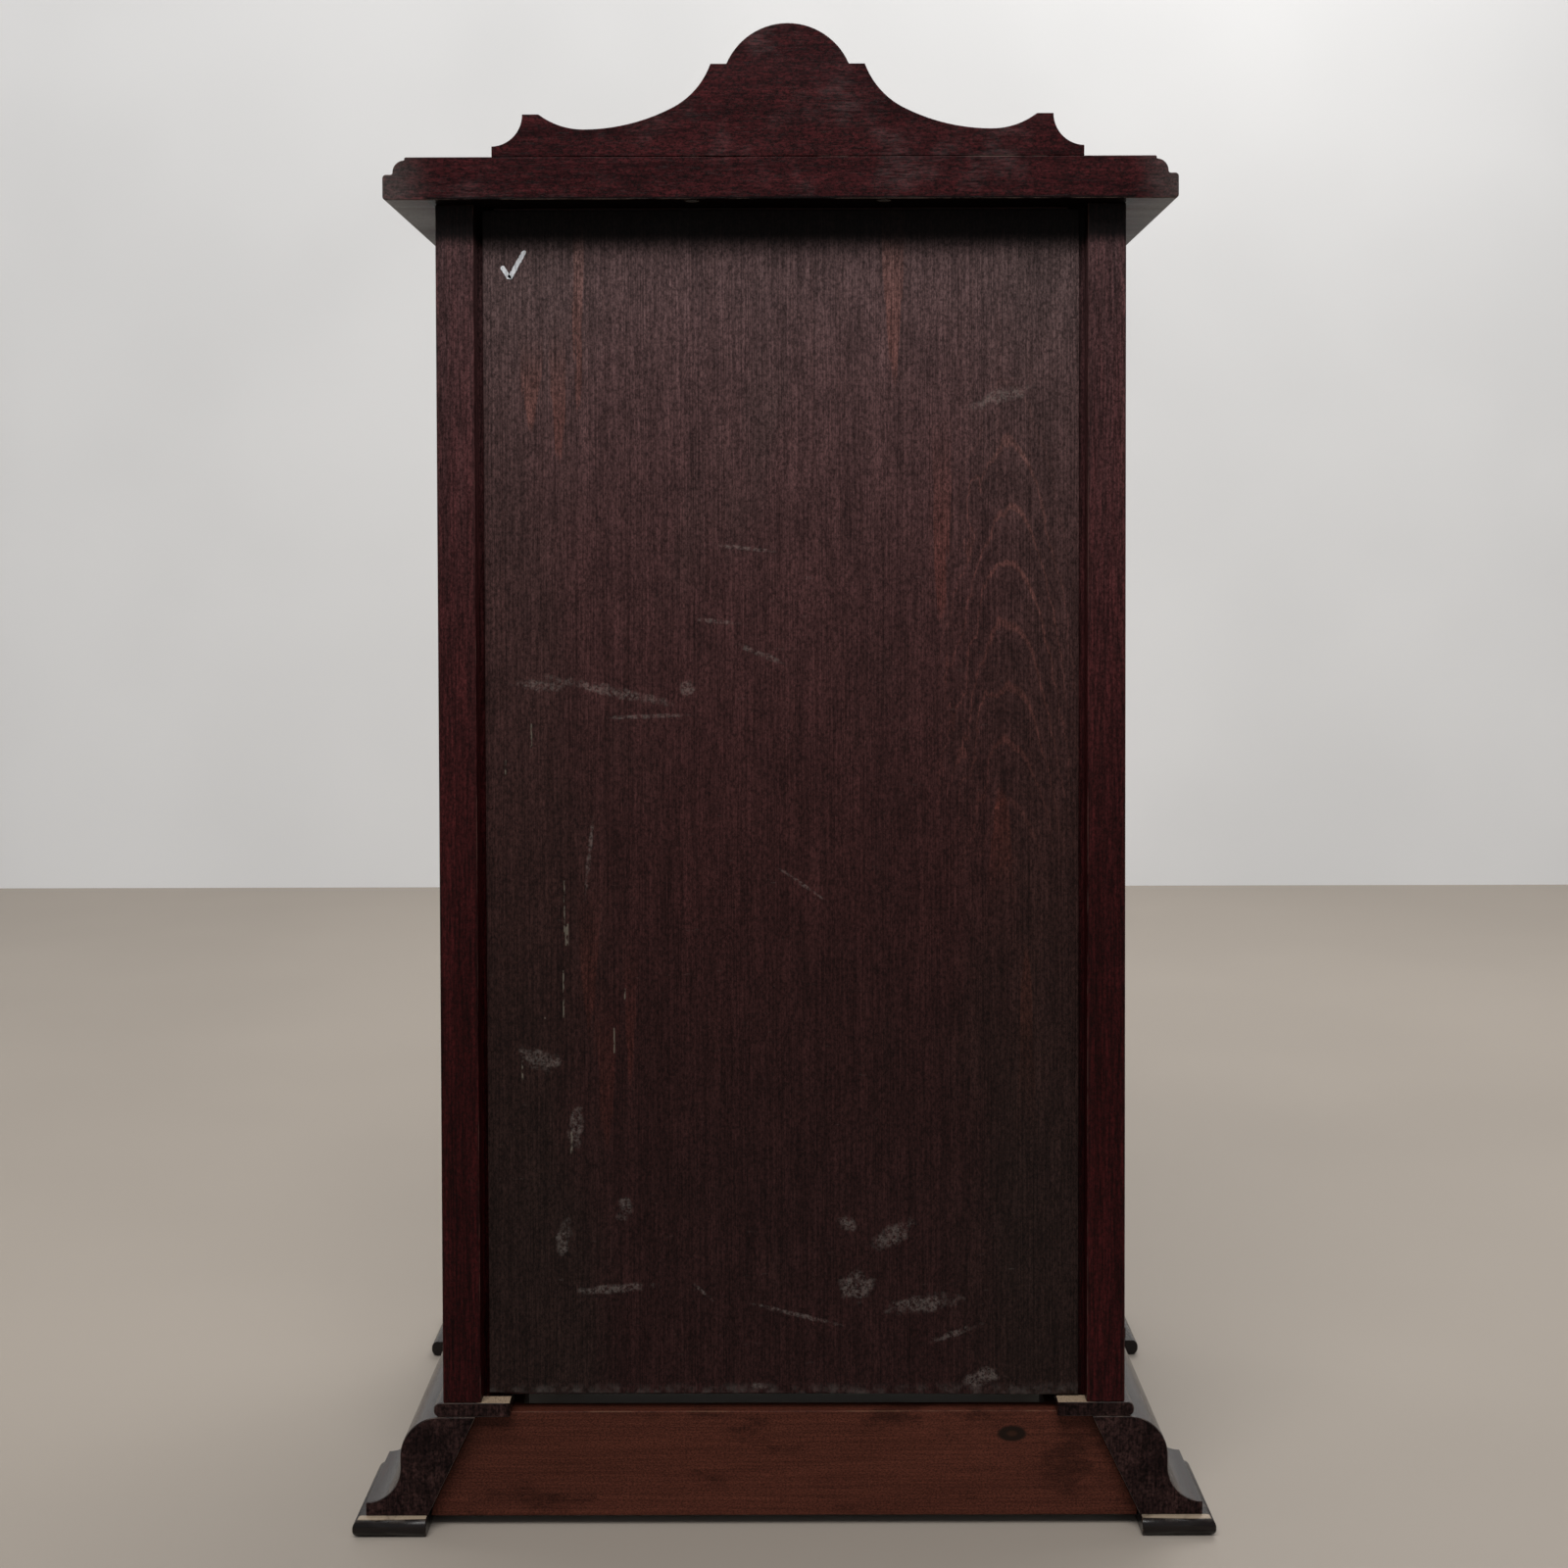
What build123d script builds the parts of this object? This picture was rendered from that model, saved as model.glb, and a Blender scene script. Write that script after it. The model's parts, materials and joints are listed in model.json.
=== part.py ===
"""Glazed curio cabinet: a case on an ogee bracket plinth, with a shaped crest on its moulded top.

Millimetres. +Z is up and the front faces -Y. The origin is on the floor, below the middle of the
cabinet's overall width and depth.
Left and right are the viewer's, looking at the front, so left is -X.
"""
import math
import os
from build123d import *

os.makedirs("parts", exist_ok=True)

# ---------------------------------------------------------------- driving dimensions

# Case
case_w = 377.0
case_d = 280.0
case_h = 660.0
post_w = 30.0  # corner posts, across X
rear_post_d = 34.0
front_post_d = 40.0
side_rail_t = 22.0
side_rail_h = 30.0
front_rail_h = 30.0
front_rail_t = 22.0
rear_rail_t = 20.0
bottom_board_t = 15.0

# Back panel, nailed into a rebate behind the rear posts
panel_t = 4.0
panel_recess = 8.0
panel_edge_gap = 3.5
rear_face_w = 21.0  # what the rebate leaves of a rear post's back face
panel_bottom_up = 2.6
panel_bottom_skew = 1.8  # its bottom edge is sawn out of square
panel_top_down = 2.0

# Top board
top_t = 23.0
top_side_over = 26.0
top_front_over = 27.0
top_back_over = 14.0
top_step = 1.6
top_ovolo = 6.5
top_cove = 1.2
top_ledge = 4.3
top_arris = 2.0

# Crest
crest_t = 12.0
crest_offset = -4.0  # it was fixed a little off centre
crest_half_w = 159.5
crest_end_h = 5.6
crest_ear_h = 22.6
crest_ear_out = 143.0
crest_ear_in = 134.0
crest_dip_x = 110.0
crest_dip_h = 14.6
crest_sweep_r = 105.0
crest_sweep_angle = 27.0
crest_shoulder_out = 41.6
crest_shoulder_in = 33.0
crest_shoulder_h = 49.4
crest_dome_h = 71.2
crest_arris = 0.6

# Waist strip between the plinth and the case
strip_h = 8.0
strip_nose = 5.2
strip_inset = 37.0
strip_round = 3.6

# Ogee plinth, from the top down
ogee_start = 2.0
ogee_round = 22.0
ogee_neck = 6.5
ogee_hollow = 19.0
ogee_land = 7.5
plinth_wall_top = 18.0  # inner face, in from the case side
plinth_wall_foot = 8.5  # inner face, out from the case side
rear_foot_l = 66.0
side_front_foot_l = 66.0
front_foot_l = 82.0
foot_step = 12.0
arch_round = 16.0
back_board_t = 12.0
back_board_recess = 8.0
back_board_drop = 4.0
block_size = 24.0
block_h = 24.0

# Foot pads
pad_h = 10.0
pad_w = 40.5
pad_side_nose = 49.5
pad_front_nose = 49.5
pad_rear_nose = 6.0
pad_front_spread = 1.3
pad_toe = 3.0
pad_round = 4.4

# Glazing
lip_side = 12.0
lip_door = 10.0
rebate = 6.0
glass_t = 3.0
glass_gap = 0.5
bead_gap = 0.2  # between the ends of two beads

# Mortise and tenon joints
tenon_l = 15.0
tenon_t = 6.0
tenon_in = 3.0
tenon_shoulder = 6.0
tenon_gap = 0.15

# Door
door_gap = 1.5
door_t = 20.0
door_stile_w = 30.0
door_top_rail_h = 30.0
door_bottom_rail_h = 36.0
stop_w = 6.0
stop_t = 4.5
stop_gap = 0.4

# Shelves
shelf_t = 9.0
shelf_count = 3
shelf_side_gap = 0.7
shelf_front_in = 27.0
shelf_pin_r = 2.5
shelf_pin_in = 8.0
shelf_pin_out = 7.0
shelf_pin_from_edge = 5.0

# Hinges
hinge_h = 38.0
hinge_from_end = 70.0
hinge_leaf_t = 1.3
hinge_leaf_d = 15.0
knuckle_r = 2.8
knuckle_count = 5
knuckle_gap = 0.3
barrel_proud = 0.4
hinge_pin_r = 1.3
hinge_pin_head = 0.8
running_gap = 0.05

# Lock and key
lock_w = 22.0
lock_h = 40.0
lock_t = 10.0
lock_up = 12.0  # above the middle of the door
bolt_l = 15.0
bolt_h = 9.0
bolt_t = 5.0
bolt_up = 9.5  # underside of the bolt, above the key
bolt_throw = 7.0
bolt_gap = 0.2
key_shaft_r = 1.9
key_gap = 0.05
key_bit_l = 7.0
key_bit_w = 2.2
key_bit_t = 5.0
key_chamber_r = 8.0
keyhole_slot_gap = 0.3
key_out = 22.0
key_bow_r = 9.0
key_bow_bar = 2.0
escutcheon_h = 30.0
escutcheon_w = 15.0
escutcheon_t = 1.2
strike_h = 26.0
strike_d = 12.0
strike_t = 1.2
strike_gap = 0.5

# Fasteners
fit_gap = 0.03
hinge_screw = {"shank_r": 1.1, "head_r": 2.1, "length": 10.0}
top_screw = {"shank_r": 2.0, "head_r": 4.0, "length": 32.0}
crest_screw = {"shank_r": 1.8, "head_r": 3.6, "length": 38.0}
screw_slot_w = 0.6
screw_slot_d = 0.7
top_screw_counterbore = 9.0
top_screw_x = 105.0
crest_screw_x = 52.0
hinge_screw_z = 11.0
panel_pin_r = 0.7
panel_pin_head_r = 1.4
panel_pin_head_t = 0.5
panel_pin_l = 14.0
panel_pin_rows = 5
panel_pin_columns = 3

cut_over = 2.0  # how far a cutting tool runs past a face

# ---------------------------------------------------------------- derived levels and faces

half_w = case_w / 2
overall_d = pad_front_nose + case_d + max(pad_rear_nose, top_back_over)
front_y = pad_front_nose - overall_d / 2
back_y = front_y + case_d

plinth_h = ogee_round + ogee_neck + ogee_hollow + ogee_land
plinth_out = ogee_start + ogee_round + ogee_hollow
z_strip = pad_h + plinth_h
z_case = z_strip + strip_h
z_top = z_case + case_h
z_crest = z_top + top_t
z_arch = pad_h + foot_step + arch_round

post_in = half_w - post_w  # inner faces of the posts
rail_in = half_w - side_rail_t
panel_front_y = back_y - panel_recess - panel_t
panel_half_w = half_w - rear_face_w - panel_edge_gap

side_open_y = (front_y + front_post_d, back_y - rear_post_d)
side_open_z = (z_case + side_rail_h, z_top - side_rail_h)

z_floor = z_case + bottom_board_t
z_head = z_top - front_rail_h
door_x = (-post_in + door_gap, post_in - door_gap)
door_z = (z_floor + door_gap, z_head - door_gap)
door_open_x = (door_x[0] + door_stile_w, door_x[1] - door_stile_w)
door_open_z = (door_z[0] + door_bottom_rail_h, door_z[1] - door_top_rail_h)

hinge_x = -post_in + door_gap / 2
hinge_y = front_y - knuckle_r - barrel_proud
hinge_levels = {"upper": door_z[1] - hinge_from_end, "lower": door_z[0] + hinge_from_end}

lock_x = (door_x[1] - lock_w, door_x[1])
key_x = sum(lock_x) / 2
key_z = sum(door_z) / 2 + lock_up
bolt_x = (door_x[1] - bolt_l, door_x[1])
bolt_z = (key_z + bolt_up, key_z + bolt_up + bolt_h)
bolt_y = door_t - lock_t / 2  # middle of the bolt, behind the door's face

shelf_rise = (z_head - z_floor + shelf_t) / (shelf_count + 1)
shelf_tops = [z_floor + shelf_rise * (n + 1) for n in range(shelf_count)]

top_y = (front_y - top_front_over, back_y + top_back_over)
crest_y = (top_y[1] - crest_t, top_y[1])

# Workplanes whose X runs across a framed face, Y is up and Z points out of the cabinet
SIDE = Plane(origin=(half_w, 0, 0), x_dir=(0, 1, 0), z_dir=(1, 0, 0))
FRONT = Plane(origin=(0, front_y, 0), x_dir=(1, 0, 0), z_dir=(0, -1, 0))


# ---------------------------------------------------------------- helpers

def write(piece, label):
    """Names a finished piece and writes its STEP file."""
    piece.part.label = label
    export_step(piece.part, f"parts/{label}.step")


def write_pair(right, stem):
    """Writes a right-hand piece, and its mirror image as the left-hand one."""
    with BuildPart() as left:
        add(mirror(right.part, about=Plane.YZ, mode=Mode.PRIVATE))
    write(right, f"{stem}_right")
    write(left, f"{stem}_left")


def block(across, up, out, mode=Mode.ADD):
    """A box from its (low, high) ranges along the active workplane's X, Y and Z."""
    ranges = (across, up, out)
    with Locations(tuple(sum(pair) / 2 for pair in ranges)):
        Box(*(high - low for low, high in ranges), mode=mode)


def wider(pair, by):
    """A (low, high) range grown by the same amount at both ends."""
    return (pair[0] - by, pair[1] + by)


def mitre(side):
    """Vertical 45 degree plane through a front corner of the case, facing back and out."""
    return Plane(origin=(side * half_w, front_y, 0), z_dir=(side, 1, 0))


def side_run(section):
    """Extrudes a section along the right side, from the back of the case to the front mitre."""
    start = Plane(origin=(half_w, back_y, 0), x_dir=(1, 0, 0), z_dir=(0, -1, 0))
    extrude(start * section, amount=case_d + pad_front_nose)
    split(bisect_by=mitre(1), keep=Keep.TOP)


def front_run(section):
    """Extrudes a section along the front, from mitre to mitre."""
    half_run = half_w + pad_side_nose
    start = Plane(origin=(half_run, front_y, 0), x_dir=(0, -1, 0), z_dir=(-1, 0, 0))
    extrude(start * section, amount=2 * half_run)
    split(bisect_by=mitre(1), keep=Keep.BOTTOM)
    split(bisect_by=mitre(-1), keep=Keep.BOTTOM)


def screw(head, shank_r, head_r, length, grow=0.0, mode=Mode.ADD):
    """A countersunk screw. The head plane's origin is the middle of its face, its Z points out."""
    head_h = head_r - shank_r
    middle = (Align.CENTER, Align.CENTER, Align.MAX)
    with Locations(head):
        Cone(shank_r + grow, head_r + grow, head_h, align=middle, mode=mode)
        Cylinder(shank_r + grow, length, align=middle, mode=mode)


def screw_slot(head, head_r):
    """The driver slot across a screw's head."""
    with Locations(head):
        Box(2 * head_r, screw_slot_w, 2 * screw_slot_d, mode=Mode.SUBTRACT)


# ---------------------------------------------------------------- fasteners, shared by holes and solids

def top_screw_heads():
    """Head planes of the screws that hold the top board down, in the undersides of two rails."""
    rows = (front_y + front_rail_t / 2, panel_front_y - rear_rail_t / 2)
    z = z_head + top_screw_counterbore
    return [Plane(origin=(x, y, z), z_dir=(0, 0, -1)) for x in (-top_screw_x, top_screw_x) for y in rows]


def top_screw_holes():
    """Screw holes with a counterbore below each head."""
    for head in top_screw_heads():
        screw(head, **top_screw, grow=fit_gap, mode=Mode.SUBTRACT)
        with Locations(head):
            Cylinder(top_screw["head_r"] + fit_gap, top_screw_counterbore + cut_over,
                     align=(Align.CENTER, Align.CENTER, Align.MIN), mode=Mode.SUBTRACT)


def crest_screw_heads():
    """Head planes of the screws up through the top board into the crest."""
    places = [(crest_offset + side * crest_screw_x, sum(crest_y) / 2, z_top) for side in (-1, 1)]
    return [Plane(origin=place, z_dir=(0, 0, -1)) for place in places]


def crest_screw_holes():
    for head in crest_screw_heads():
        screw(head, **crest_screw, grow=fit_gap, mode=Mode.SUBTRACT)


def hinge_screw_heads(side):
    """Head planes in the hinge gap: side -1 holds the case leaves, side 1 the door leaves."""
    face_x = hinge_x + side * door_gap / 2
    y = front_y + hinge_leaf_d / 2
    levels = [level + up for level in hinge_levels.values() for up in (-hinge_screw_z, hinge_screw_z)]
    return [Plane(origin=(face_x, y, z), x_dir=(0, 0, 1), z_dir=(-side, 0, 0)) for z in levels]


def hinge_screw_holes(side):
    for head in hinge_screw_heads(side):
        screw(head, **hinge_screw, grow=fit_gap, mode=Mode.SUBTRACT)


def panel_pins(grow=0.0, mode=Mode.ADD):
    """Pins round the back panel's edge, into the posts, the rear rail and the bottom board."""
    side_x = (panel_half_w + post_in) / 2
    column_z = wider((z_case + side_rail_h, z_top - side_rail_h), -side_rail_h)
    rise = (column_z[1] - column_z[0]) / (panel_pin_rows - 1)
    row_x = post_in - post_w
    places = [(x, column_z[0] + rise * n) for x in (-side_x, side_x) for n in range(panel_pin_rows)]
    for z in (z_case + bottom_board_t / 2, z_top - side_rail_h / 2):
        places += [(row_x * n, z) for n in range(-(panel_pin_columns // 2), panel_pin_columns // 2 + 1)]
    face = Plane(origin=(0, back_y - panel_recess, 0), x_dir=(-1, 0, 0), z_dir=(0, 1, 0))
    with Locations(*[face * Location((-x, z, 0)) for x, z in places]):
        Cylinder(panel_pin_r + grow, panel_pin_l, align=(Align.CENTER, Align.CENTER, Align.MAX), mode=mode)
        Cylinder(panel_pin_head_r, panel_pin_head_t, align=(Align.CENTER, Align.CENTER, Align.MIN), mode=mode)


def shelf_pins(side, reach=(shelf_pin_in, shelf_pin_out), grow=0.0, mode=Mode.ADD):
    """The shelf pins of one side: each lies along X, partly in its post and partly under a shelf."""
    rows = (front_y + shelf_front_in + shelf_pin_from_edge, panel_front_y - shelf_pin_from_edge)
    into, out = reach
    for top in shelf_tops:
        for y in rows:
            with Locations(Plane(origin=(side * (post_in + into), y, top - shelf_t - shelf_pin_r),
                                 z_dir=(-side, 0, 0))):
                Cylinder(shelf_pin_r + grow, into + out, mode=mode,
                         align=(Align.CENTER, Align.CENTER, Align.MIN))


def shelf_pin_holes():
    """Blind holes in the right-hand posts' inner faces."""
    shelf_pins(1, reach=(shelf_pin_in + fit_gap, cut_over), grow=fit_gap, mode=Mode.SUBTRACT)


# ---------------------------------------------------------------- foot pads

def rear_pad():
    """Flat pad under a rear foot, with a round nose outside and behind."""
    x = (half_w + pad_side_nose - pad_w, half_w + pad_side_nose)
    y = (back_y - rear_foot_l - pad_toe, back_y + pad_rear_nose)
    with BuildPart() as pad:
        block(x, y, (0, pad_h))
        outer = pad.edges().filter_by(Axis.Y).group_by(Axis.X)[-1]
        rear = pad.edges().filter_by(Axis.X).group_by(Axis.Y)[-1]
        fillet(outer + rear, pad_round)
    write_pair(pad, "foot_pad_rear")


def front_pad():
    """L-shaped pad under a front corner foot, with a round nose along both outer edges."""
    outer_x = half_w + pad_side_nose + pad_front_spread
    outer_y = front_y - pad_front_nose
    end_x = half_w + plinth_out - front_foot_l - pad_toe
    end_y = front_y - plinth_out + side_front_foot_l + pad_toe
    with BuildPart() as pad:
        block((outer_x - pad_w, outer_x), (outer_y, end_y), (0, pad_h))
        block((end_x, outer_x), (outer_y, outer_y + pad_w), (0, pad_h))
        outer = pad.edges().filter_by(Axis.Y).group_by(Axis.X)[-1]
        front = pad.edges().filter_by(Axis.X).group_by(Axis.Y)[0]
        fillet(outer + front, pad_round)
    write_pair(pad, "foot_pad_front")


# ---------------------------------------------------------------- plinth

def ogee_section():
    """Ogee wall: X is out from the case face, Y is up."""
    round_centre = (ogee_start, z_strip - ogee_round)
    neck_x = ogee_start + ogee_round
    hollow_top = z_strip - ogee_round - ogee_neck
    with BuildSketch() as section:
        with BuildLine():
            Line((-plinth_wall_top, z_strip), (ogee_start, z_strip))
            CenterArc(round_centre, ogee_round, 90, -90)
            Line((neck_x, z_strip - ogee_round), (neck_x, hollow_top))
            CenterArc((neck_x + ogee_hollow, hollow_top), ogee_hollow, 180, 90)
            Polyline((plinth_out, pad_h + ogee_land), (plinth_out, pad_h), (plinth_wall_foot, pad_h),
                     (-plinth_wall_top, z_strip))
        make_face()
    return section.sketch


def arch(plane, span):
    """Cuts the bracket arch between two feet. The plane's X runs along the plinth, its Y is up."""
    low = pad_h - cut_over
    with BuildSketch() as outline:
        with Locations((sum(span) / 2, (low + z_arch) / 2)):
            Rectangle(span[1] - span[0], z_arch - low)
        fillet(outline.vertices().group_by(Axis.Y)[-1], arch_round)
    extrude(plane * outline.sketch, amount=plinth_out + plinth_wall_top, both=True, mode=Mode.SUBTRACT)


def plinth_sides():
    with BuildPart() as side:
        side_run(ogee_section())
        arch(Plane.YZ.offset(half_w), (front_y - plinth_out + side_front_foot_l, back_y - rear_foot_l))
    write_pair(side, "plinth_side")


def plinth_front():
    foot_in = half_w + plinth_out - front_foot_l
    with BuildPart() as front:
        front_run(ogee_section())
        arch(FRONT, (-foot_in, foot_in))
    write(front, "plinth_front")


def plinth_back_board():
    """Plain board between the rear feet, its ends cut to the slant of the plinth's inner faces."""
    top_half = half_w - plinth_wall_top
    foot_half = half_w + plinth_wall_foot
    bottom = pad_h - back_board_drop
    with BuildPart() as board:
        with BuildSketch(Plane.XZ.offset(-(back_y - back_board_recess))):
            with BuildLine():
                Polyline((-top_half, z_strip), (top_half, z_strip), (foot_half, pad_h),
                         (foot_half, bottom), (-foot_half, bottom), (-foot_half, pad_h), close=True)
            make_face()
        extrude(amount=back_board_t)
    write(board, "plinth_back_board")


def inner_face(out):
    """The slanted plane of a plinth wall's inner face; out is that wall's outward direction."""
    rise = z_strip - pad_h
    lean = plinth_wall_top + plinth_wall_foot
    origin = Vector(half_w, 0, 0) if out.X else Vector(0, front_y, 0)
    return Plane(origin=origin - out * plinth_wall_top + Vector(0, 0, z_strip),
                 z_dir=out * rise + Vector(0, 0, lean))


def corner_blocks():
    """Glue blocks inside the plinth: one behind each front mitre, one before each end of the back board."""
    x = (half_w - plinth_wall_top - block_size, half_w + plinth_wall_foot)
    z = (z_strip - block_h, z_strip)
    rear_y = back_y - back_board_recess - back_board_t
    with BuildPart() as front:
        block(x, (front_y - plinth_wall_foot, front_y + plinth_wall_top + block_size), z)
        split(bisect_by=inner_face(Vector(1, 0, 0)), keep=Keep.BOTTOM)
        split(bisect_by=inner_face(Vector(0, -1, 0)), keep=Keep.BOTTOM)
    with BuildPart() as rear:
        block(x, (rear_y - block_size, rear_y), z)
        split(bisect_by=inner_face(Vector(1, 0, 0)), keep=Keep.BOTTOM)
    with BuildPart() as blocks:
        add(front.part)
        add(rear.part)
        mirror(about=Plane.YZ)
    write(blocks, "plinth_corner_blocks")


# ---------------------------------------------------------------- waist strips

def strip_section():
    """Flat strip with a round nose that stands out past the case: X is out, Y is up."""
    with BuildSketch() as section:
        with Locations(((strip_nose - strip_inset) / 2, z_strip + strip_h / 2)):
            Rectangle(strip_nose + strip_inset, strip_h)
        fillet(section.vertices().group_by(Axis.X)[-1], strip_round)
    return section.sketch


def waist_strips():
    with BuildPart() as side:
        side_run(strip_section())
    write_pair(side, "waist_strip")
    with BuildPart() as front:
        front_run(strip_section())
    write(front, "waist_strip_front")


# ---------------------------------------------------------------- framed faces, in a workplane

def frame_rebate(opening, lip, depth):
    """Cuts the glass rebate of one opening, behind its lip, from whatever frame piece is being made."""
    across, up = opening
    block(wider(across, rebate), wider(up, rebate), (-depth - cut_over, -lip), mode=Mode.SUBTRACT)


def frame_tenons(across, up, grow=0.0, mode=Mode.ADD):
    """Tenons on both ends of a rail, or, grown and subtracted, their mortises."""
    cheek = wider((-tenon_in - tenon_t, -tenon_in), grow)
    height = wider(wider(up, -tenon_shoulder), grow)
    for end in ((across[0] - tenon_l, across[0]), (across[1], across[1] + tenon_l)):
        block(wider(end, grow), height, cheek, mode=mode)


def frame_glass(opening, lip):
    across, up = opening
    block(wider(across, rebate - glass_gap), wider(up, rebate - glass_gap), (-lip - glass_t, -lip))


def frame_beads(opening, lip, depth):
    """Four glazing beads that hold the glass in its rebate."""
    across, up = opening
    out = (-depth, -lip - glass_t)
    for end in ((up[0] - rebate, up[0]), (up[1], up[1] + rebate)):
        block(wider(across, rebate), end, out)
    for end in ((across[0] - rebate, across[0]), (across[1], across[1] + rebate)):
        block(end, wider(up, -bead_gap), out)


# ---------------------------------------------------------------- case

side_opening = (side_open_y, side_open_z)
side_rails = {"top": (side_open_z[1], z_top), "bottom": (z_case, side_open_z[0])}


def post_cuts():
    """What every right-hand post loses: glass rebate, mortises and shelf pin holes."""
    frame_rebate(side_opening, lip_side, post_w)
    for up in side_rails.values():
        frame_tenons(side_open_y, up, grow=tenon_gap, mode=Mode.SUBTRACT)


def rear_posts():
    with BuildPart(SIDE) as post:
        block((back_y - rear_post_d, back_y), (z_case, z_top), (-post_w, 0))
        block((panel_front_y, back_y + cut_over), (z_case - cut_over, z_top + cut_over),
              (-post_w - cut_over, -rear_face_w), mode=Mode.SUBTRACT)
        post_cuts()
    with BuildPart() as right:
        add(post.part)
        shelf_pin_holes()
        panel_pins(grow=fit_gap, mode=Mode.SUBTRACT)
    write_pair(right, "rear_post")


def front_posts():
    """The right post takes the lock's strike plate, the left one the case leaves of the hinges."""
    with BuildPart(SIDE) as post:
        block((front_y, front_y + front_post_d), (z_case, z_top), (-post_w, 0))
        post_cuts()
    with BuildPart() as drilled:
        add(post.part)
        shelf_pin_holes()
    with BuildPart() as right:
        add(drilled.part)
        strike_recess()
    with BuildPart() as left:
        add(mirror(drilled.part, about=Plane.YZ, mode=Mode.PRIVATE))
        hinge_leaf_recesses(-1)
        hinge_screw_holes(-1)
    write(right, "front_post_right")
    write(left, "front_post_left")


def side_frames():
    for name, up in side_rails.items():
        with BuildPart(SIDE) as rail:
            block(side_open_y, up, (-side_rail_t, 0))
            frame_tenons(side_open_y, up)
            frame_rebate(side_opening, lip_side, side_rail_t)
        write_pair(rail, f"side_{name}_rail")
    with BuildPart(SIDE) as glass:
        frame_glass(side_opening, lip_side)
    write_pair(glass, "side_glass")
    with BuildPart(SIDE) as beads:
        frame_beads(side_opening, lip_side, side_rail_t)
    write_pair(beads, "side_glazing_beads")


def bottom_board():
    """Full-depth board, notched round the four posts."""
    with BuildPart() as board:
        block((-post_in, post_in), (front_y, panel_front_y), (z_case, z_floor))
        block((-rail_in, rail_in), side_open_y, (z_case, z_floor))
        panel_pins(grow=fit_gap, mode=Mode.SUBTRACT)
    write(board, "bottom_board")


def top_rails():
    with BuildPart() as front:
        block((-post_in, post_in), (front_y, front_y + front_rail_t), (z_head, z_top))
        top_screw_holes()
    write(front, "front_top_rail")
    with BuildPart() as rear:
        block((-post_in, post_in), (panel_front_y - rear_rail_t, panel_front_y), (z_head, z_top))
        top_screw_holes()
        panel_pins(grow=fit_gap, mode=Mode.SUBTRACT)
    write(rear, "rear_top_rail")


def back_panel():
    """Thin panel whose bottom edge runs out of square, so more of the bottom board shows on the right."""
    bottom = z_case + panel_bottom_up
    top = z_top - panel_top_down
    with BuildPart() as panel:
        with BuildSketch(Plane.XZ.offset(-(back_y - panel_recess))):
            with BuildLine():
                Polyline((-panel_half_w, bottom - panel_bottom_skew), (panel_half_w, bottom),
                         (panel_half_w, top), (-panel_half_w, top), close=True)
            make_face()
        extrude(amount=panel_t)
        panel_pins(grow=fit_gap, mode=Mode.SUBTRACT)
    write(panel, "back_panel")
    with BuildPart() as pins:
        panel_pins()
    write(pins, "back_panel_pins")


# ---------------------------------------------------------------- top board and crest

def moulded_edge(outer):
    """One moulded edge from the underside up to the flat: X is outward, Y is up."""
    ledge_x = outer - top_ledge
    ovolo_x = ledge_x - top_cove
    flat_x = ovolo_x - top_ovolo
    z_ovolo = z_crest - top_step
    z_cove = z_ovolo - top_ovolo
    z_ledge = z_cove - top_cove
    Line((0, z_top), (outer - top_arris, z_top))
    CenterArc((outer - top_arris, z_top + top_arris), top_arris, -90, 90)
    Line((outer, z_top + top_arris), (outer, z_ledge - top_arris))
    CenterArc((outer - top_arris, z_ledge - top_arris), top_arris, 0, 90)
    Line((outer - top_arris, z_ledge), (ledge_x, z_ledge))
    CenterArc((ledge_x, z_cove), top_cove, 270, -90)
    CenterArc((flat_x, z_cove), top_ovolo, 0, 90)
    Line((flat_x, z_ovolo), (flat_x, z_crest))
    return flat_x


def top_board():
    """Moulded on the front and both sides, square at the back."""
    half = half_w + top_side_over
    with BuildPart() as board:
        with BuildSketch(Plane.XZ.offset(-top_y[1])):
            with BuildLine():
                flat_x = moulded_edge(half)
                Line((flat_x, z_crest), (0, z_crest))
                Line((0, z_crest), (0, z_top))
            make_face()
            mirror(about=Plane.YZ)
        extrude(amount=top_y[1] - top_y[0])
        with BuildSketch(Plane(origin=(-half, 0, 0), x_dir=(0, -1, 0), z_dir=(-1, 0, 0))):
            with BuildLine():
                flat_x = moulded_edge(-top_y[0])
                Polyline((flat_x, z_crest), (-top_y[1], z_crest), (-top_y[1], z_top), (0, z_top))
            make_face()
        extrude(amount=-2 * half, mode=Mode.INTERSECT)
        top_screw_holes()
        crest_screw_holes()
    write(board, "top_board")
    with BuildPart() as screws:
        for head in top_screw_heads():
            screw(head, **top_screw)
            screw_slot(head, top_screw["head_r"])
    write(screws, "top_screws")


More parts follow.
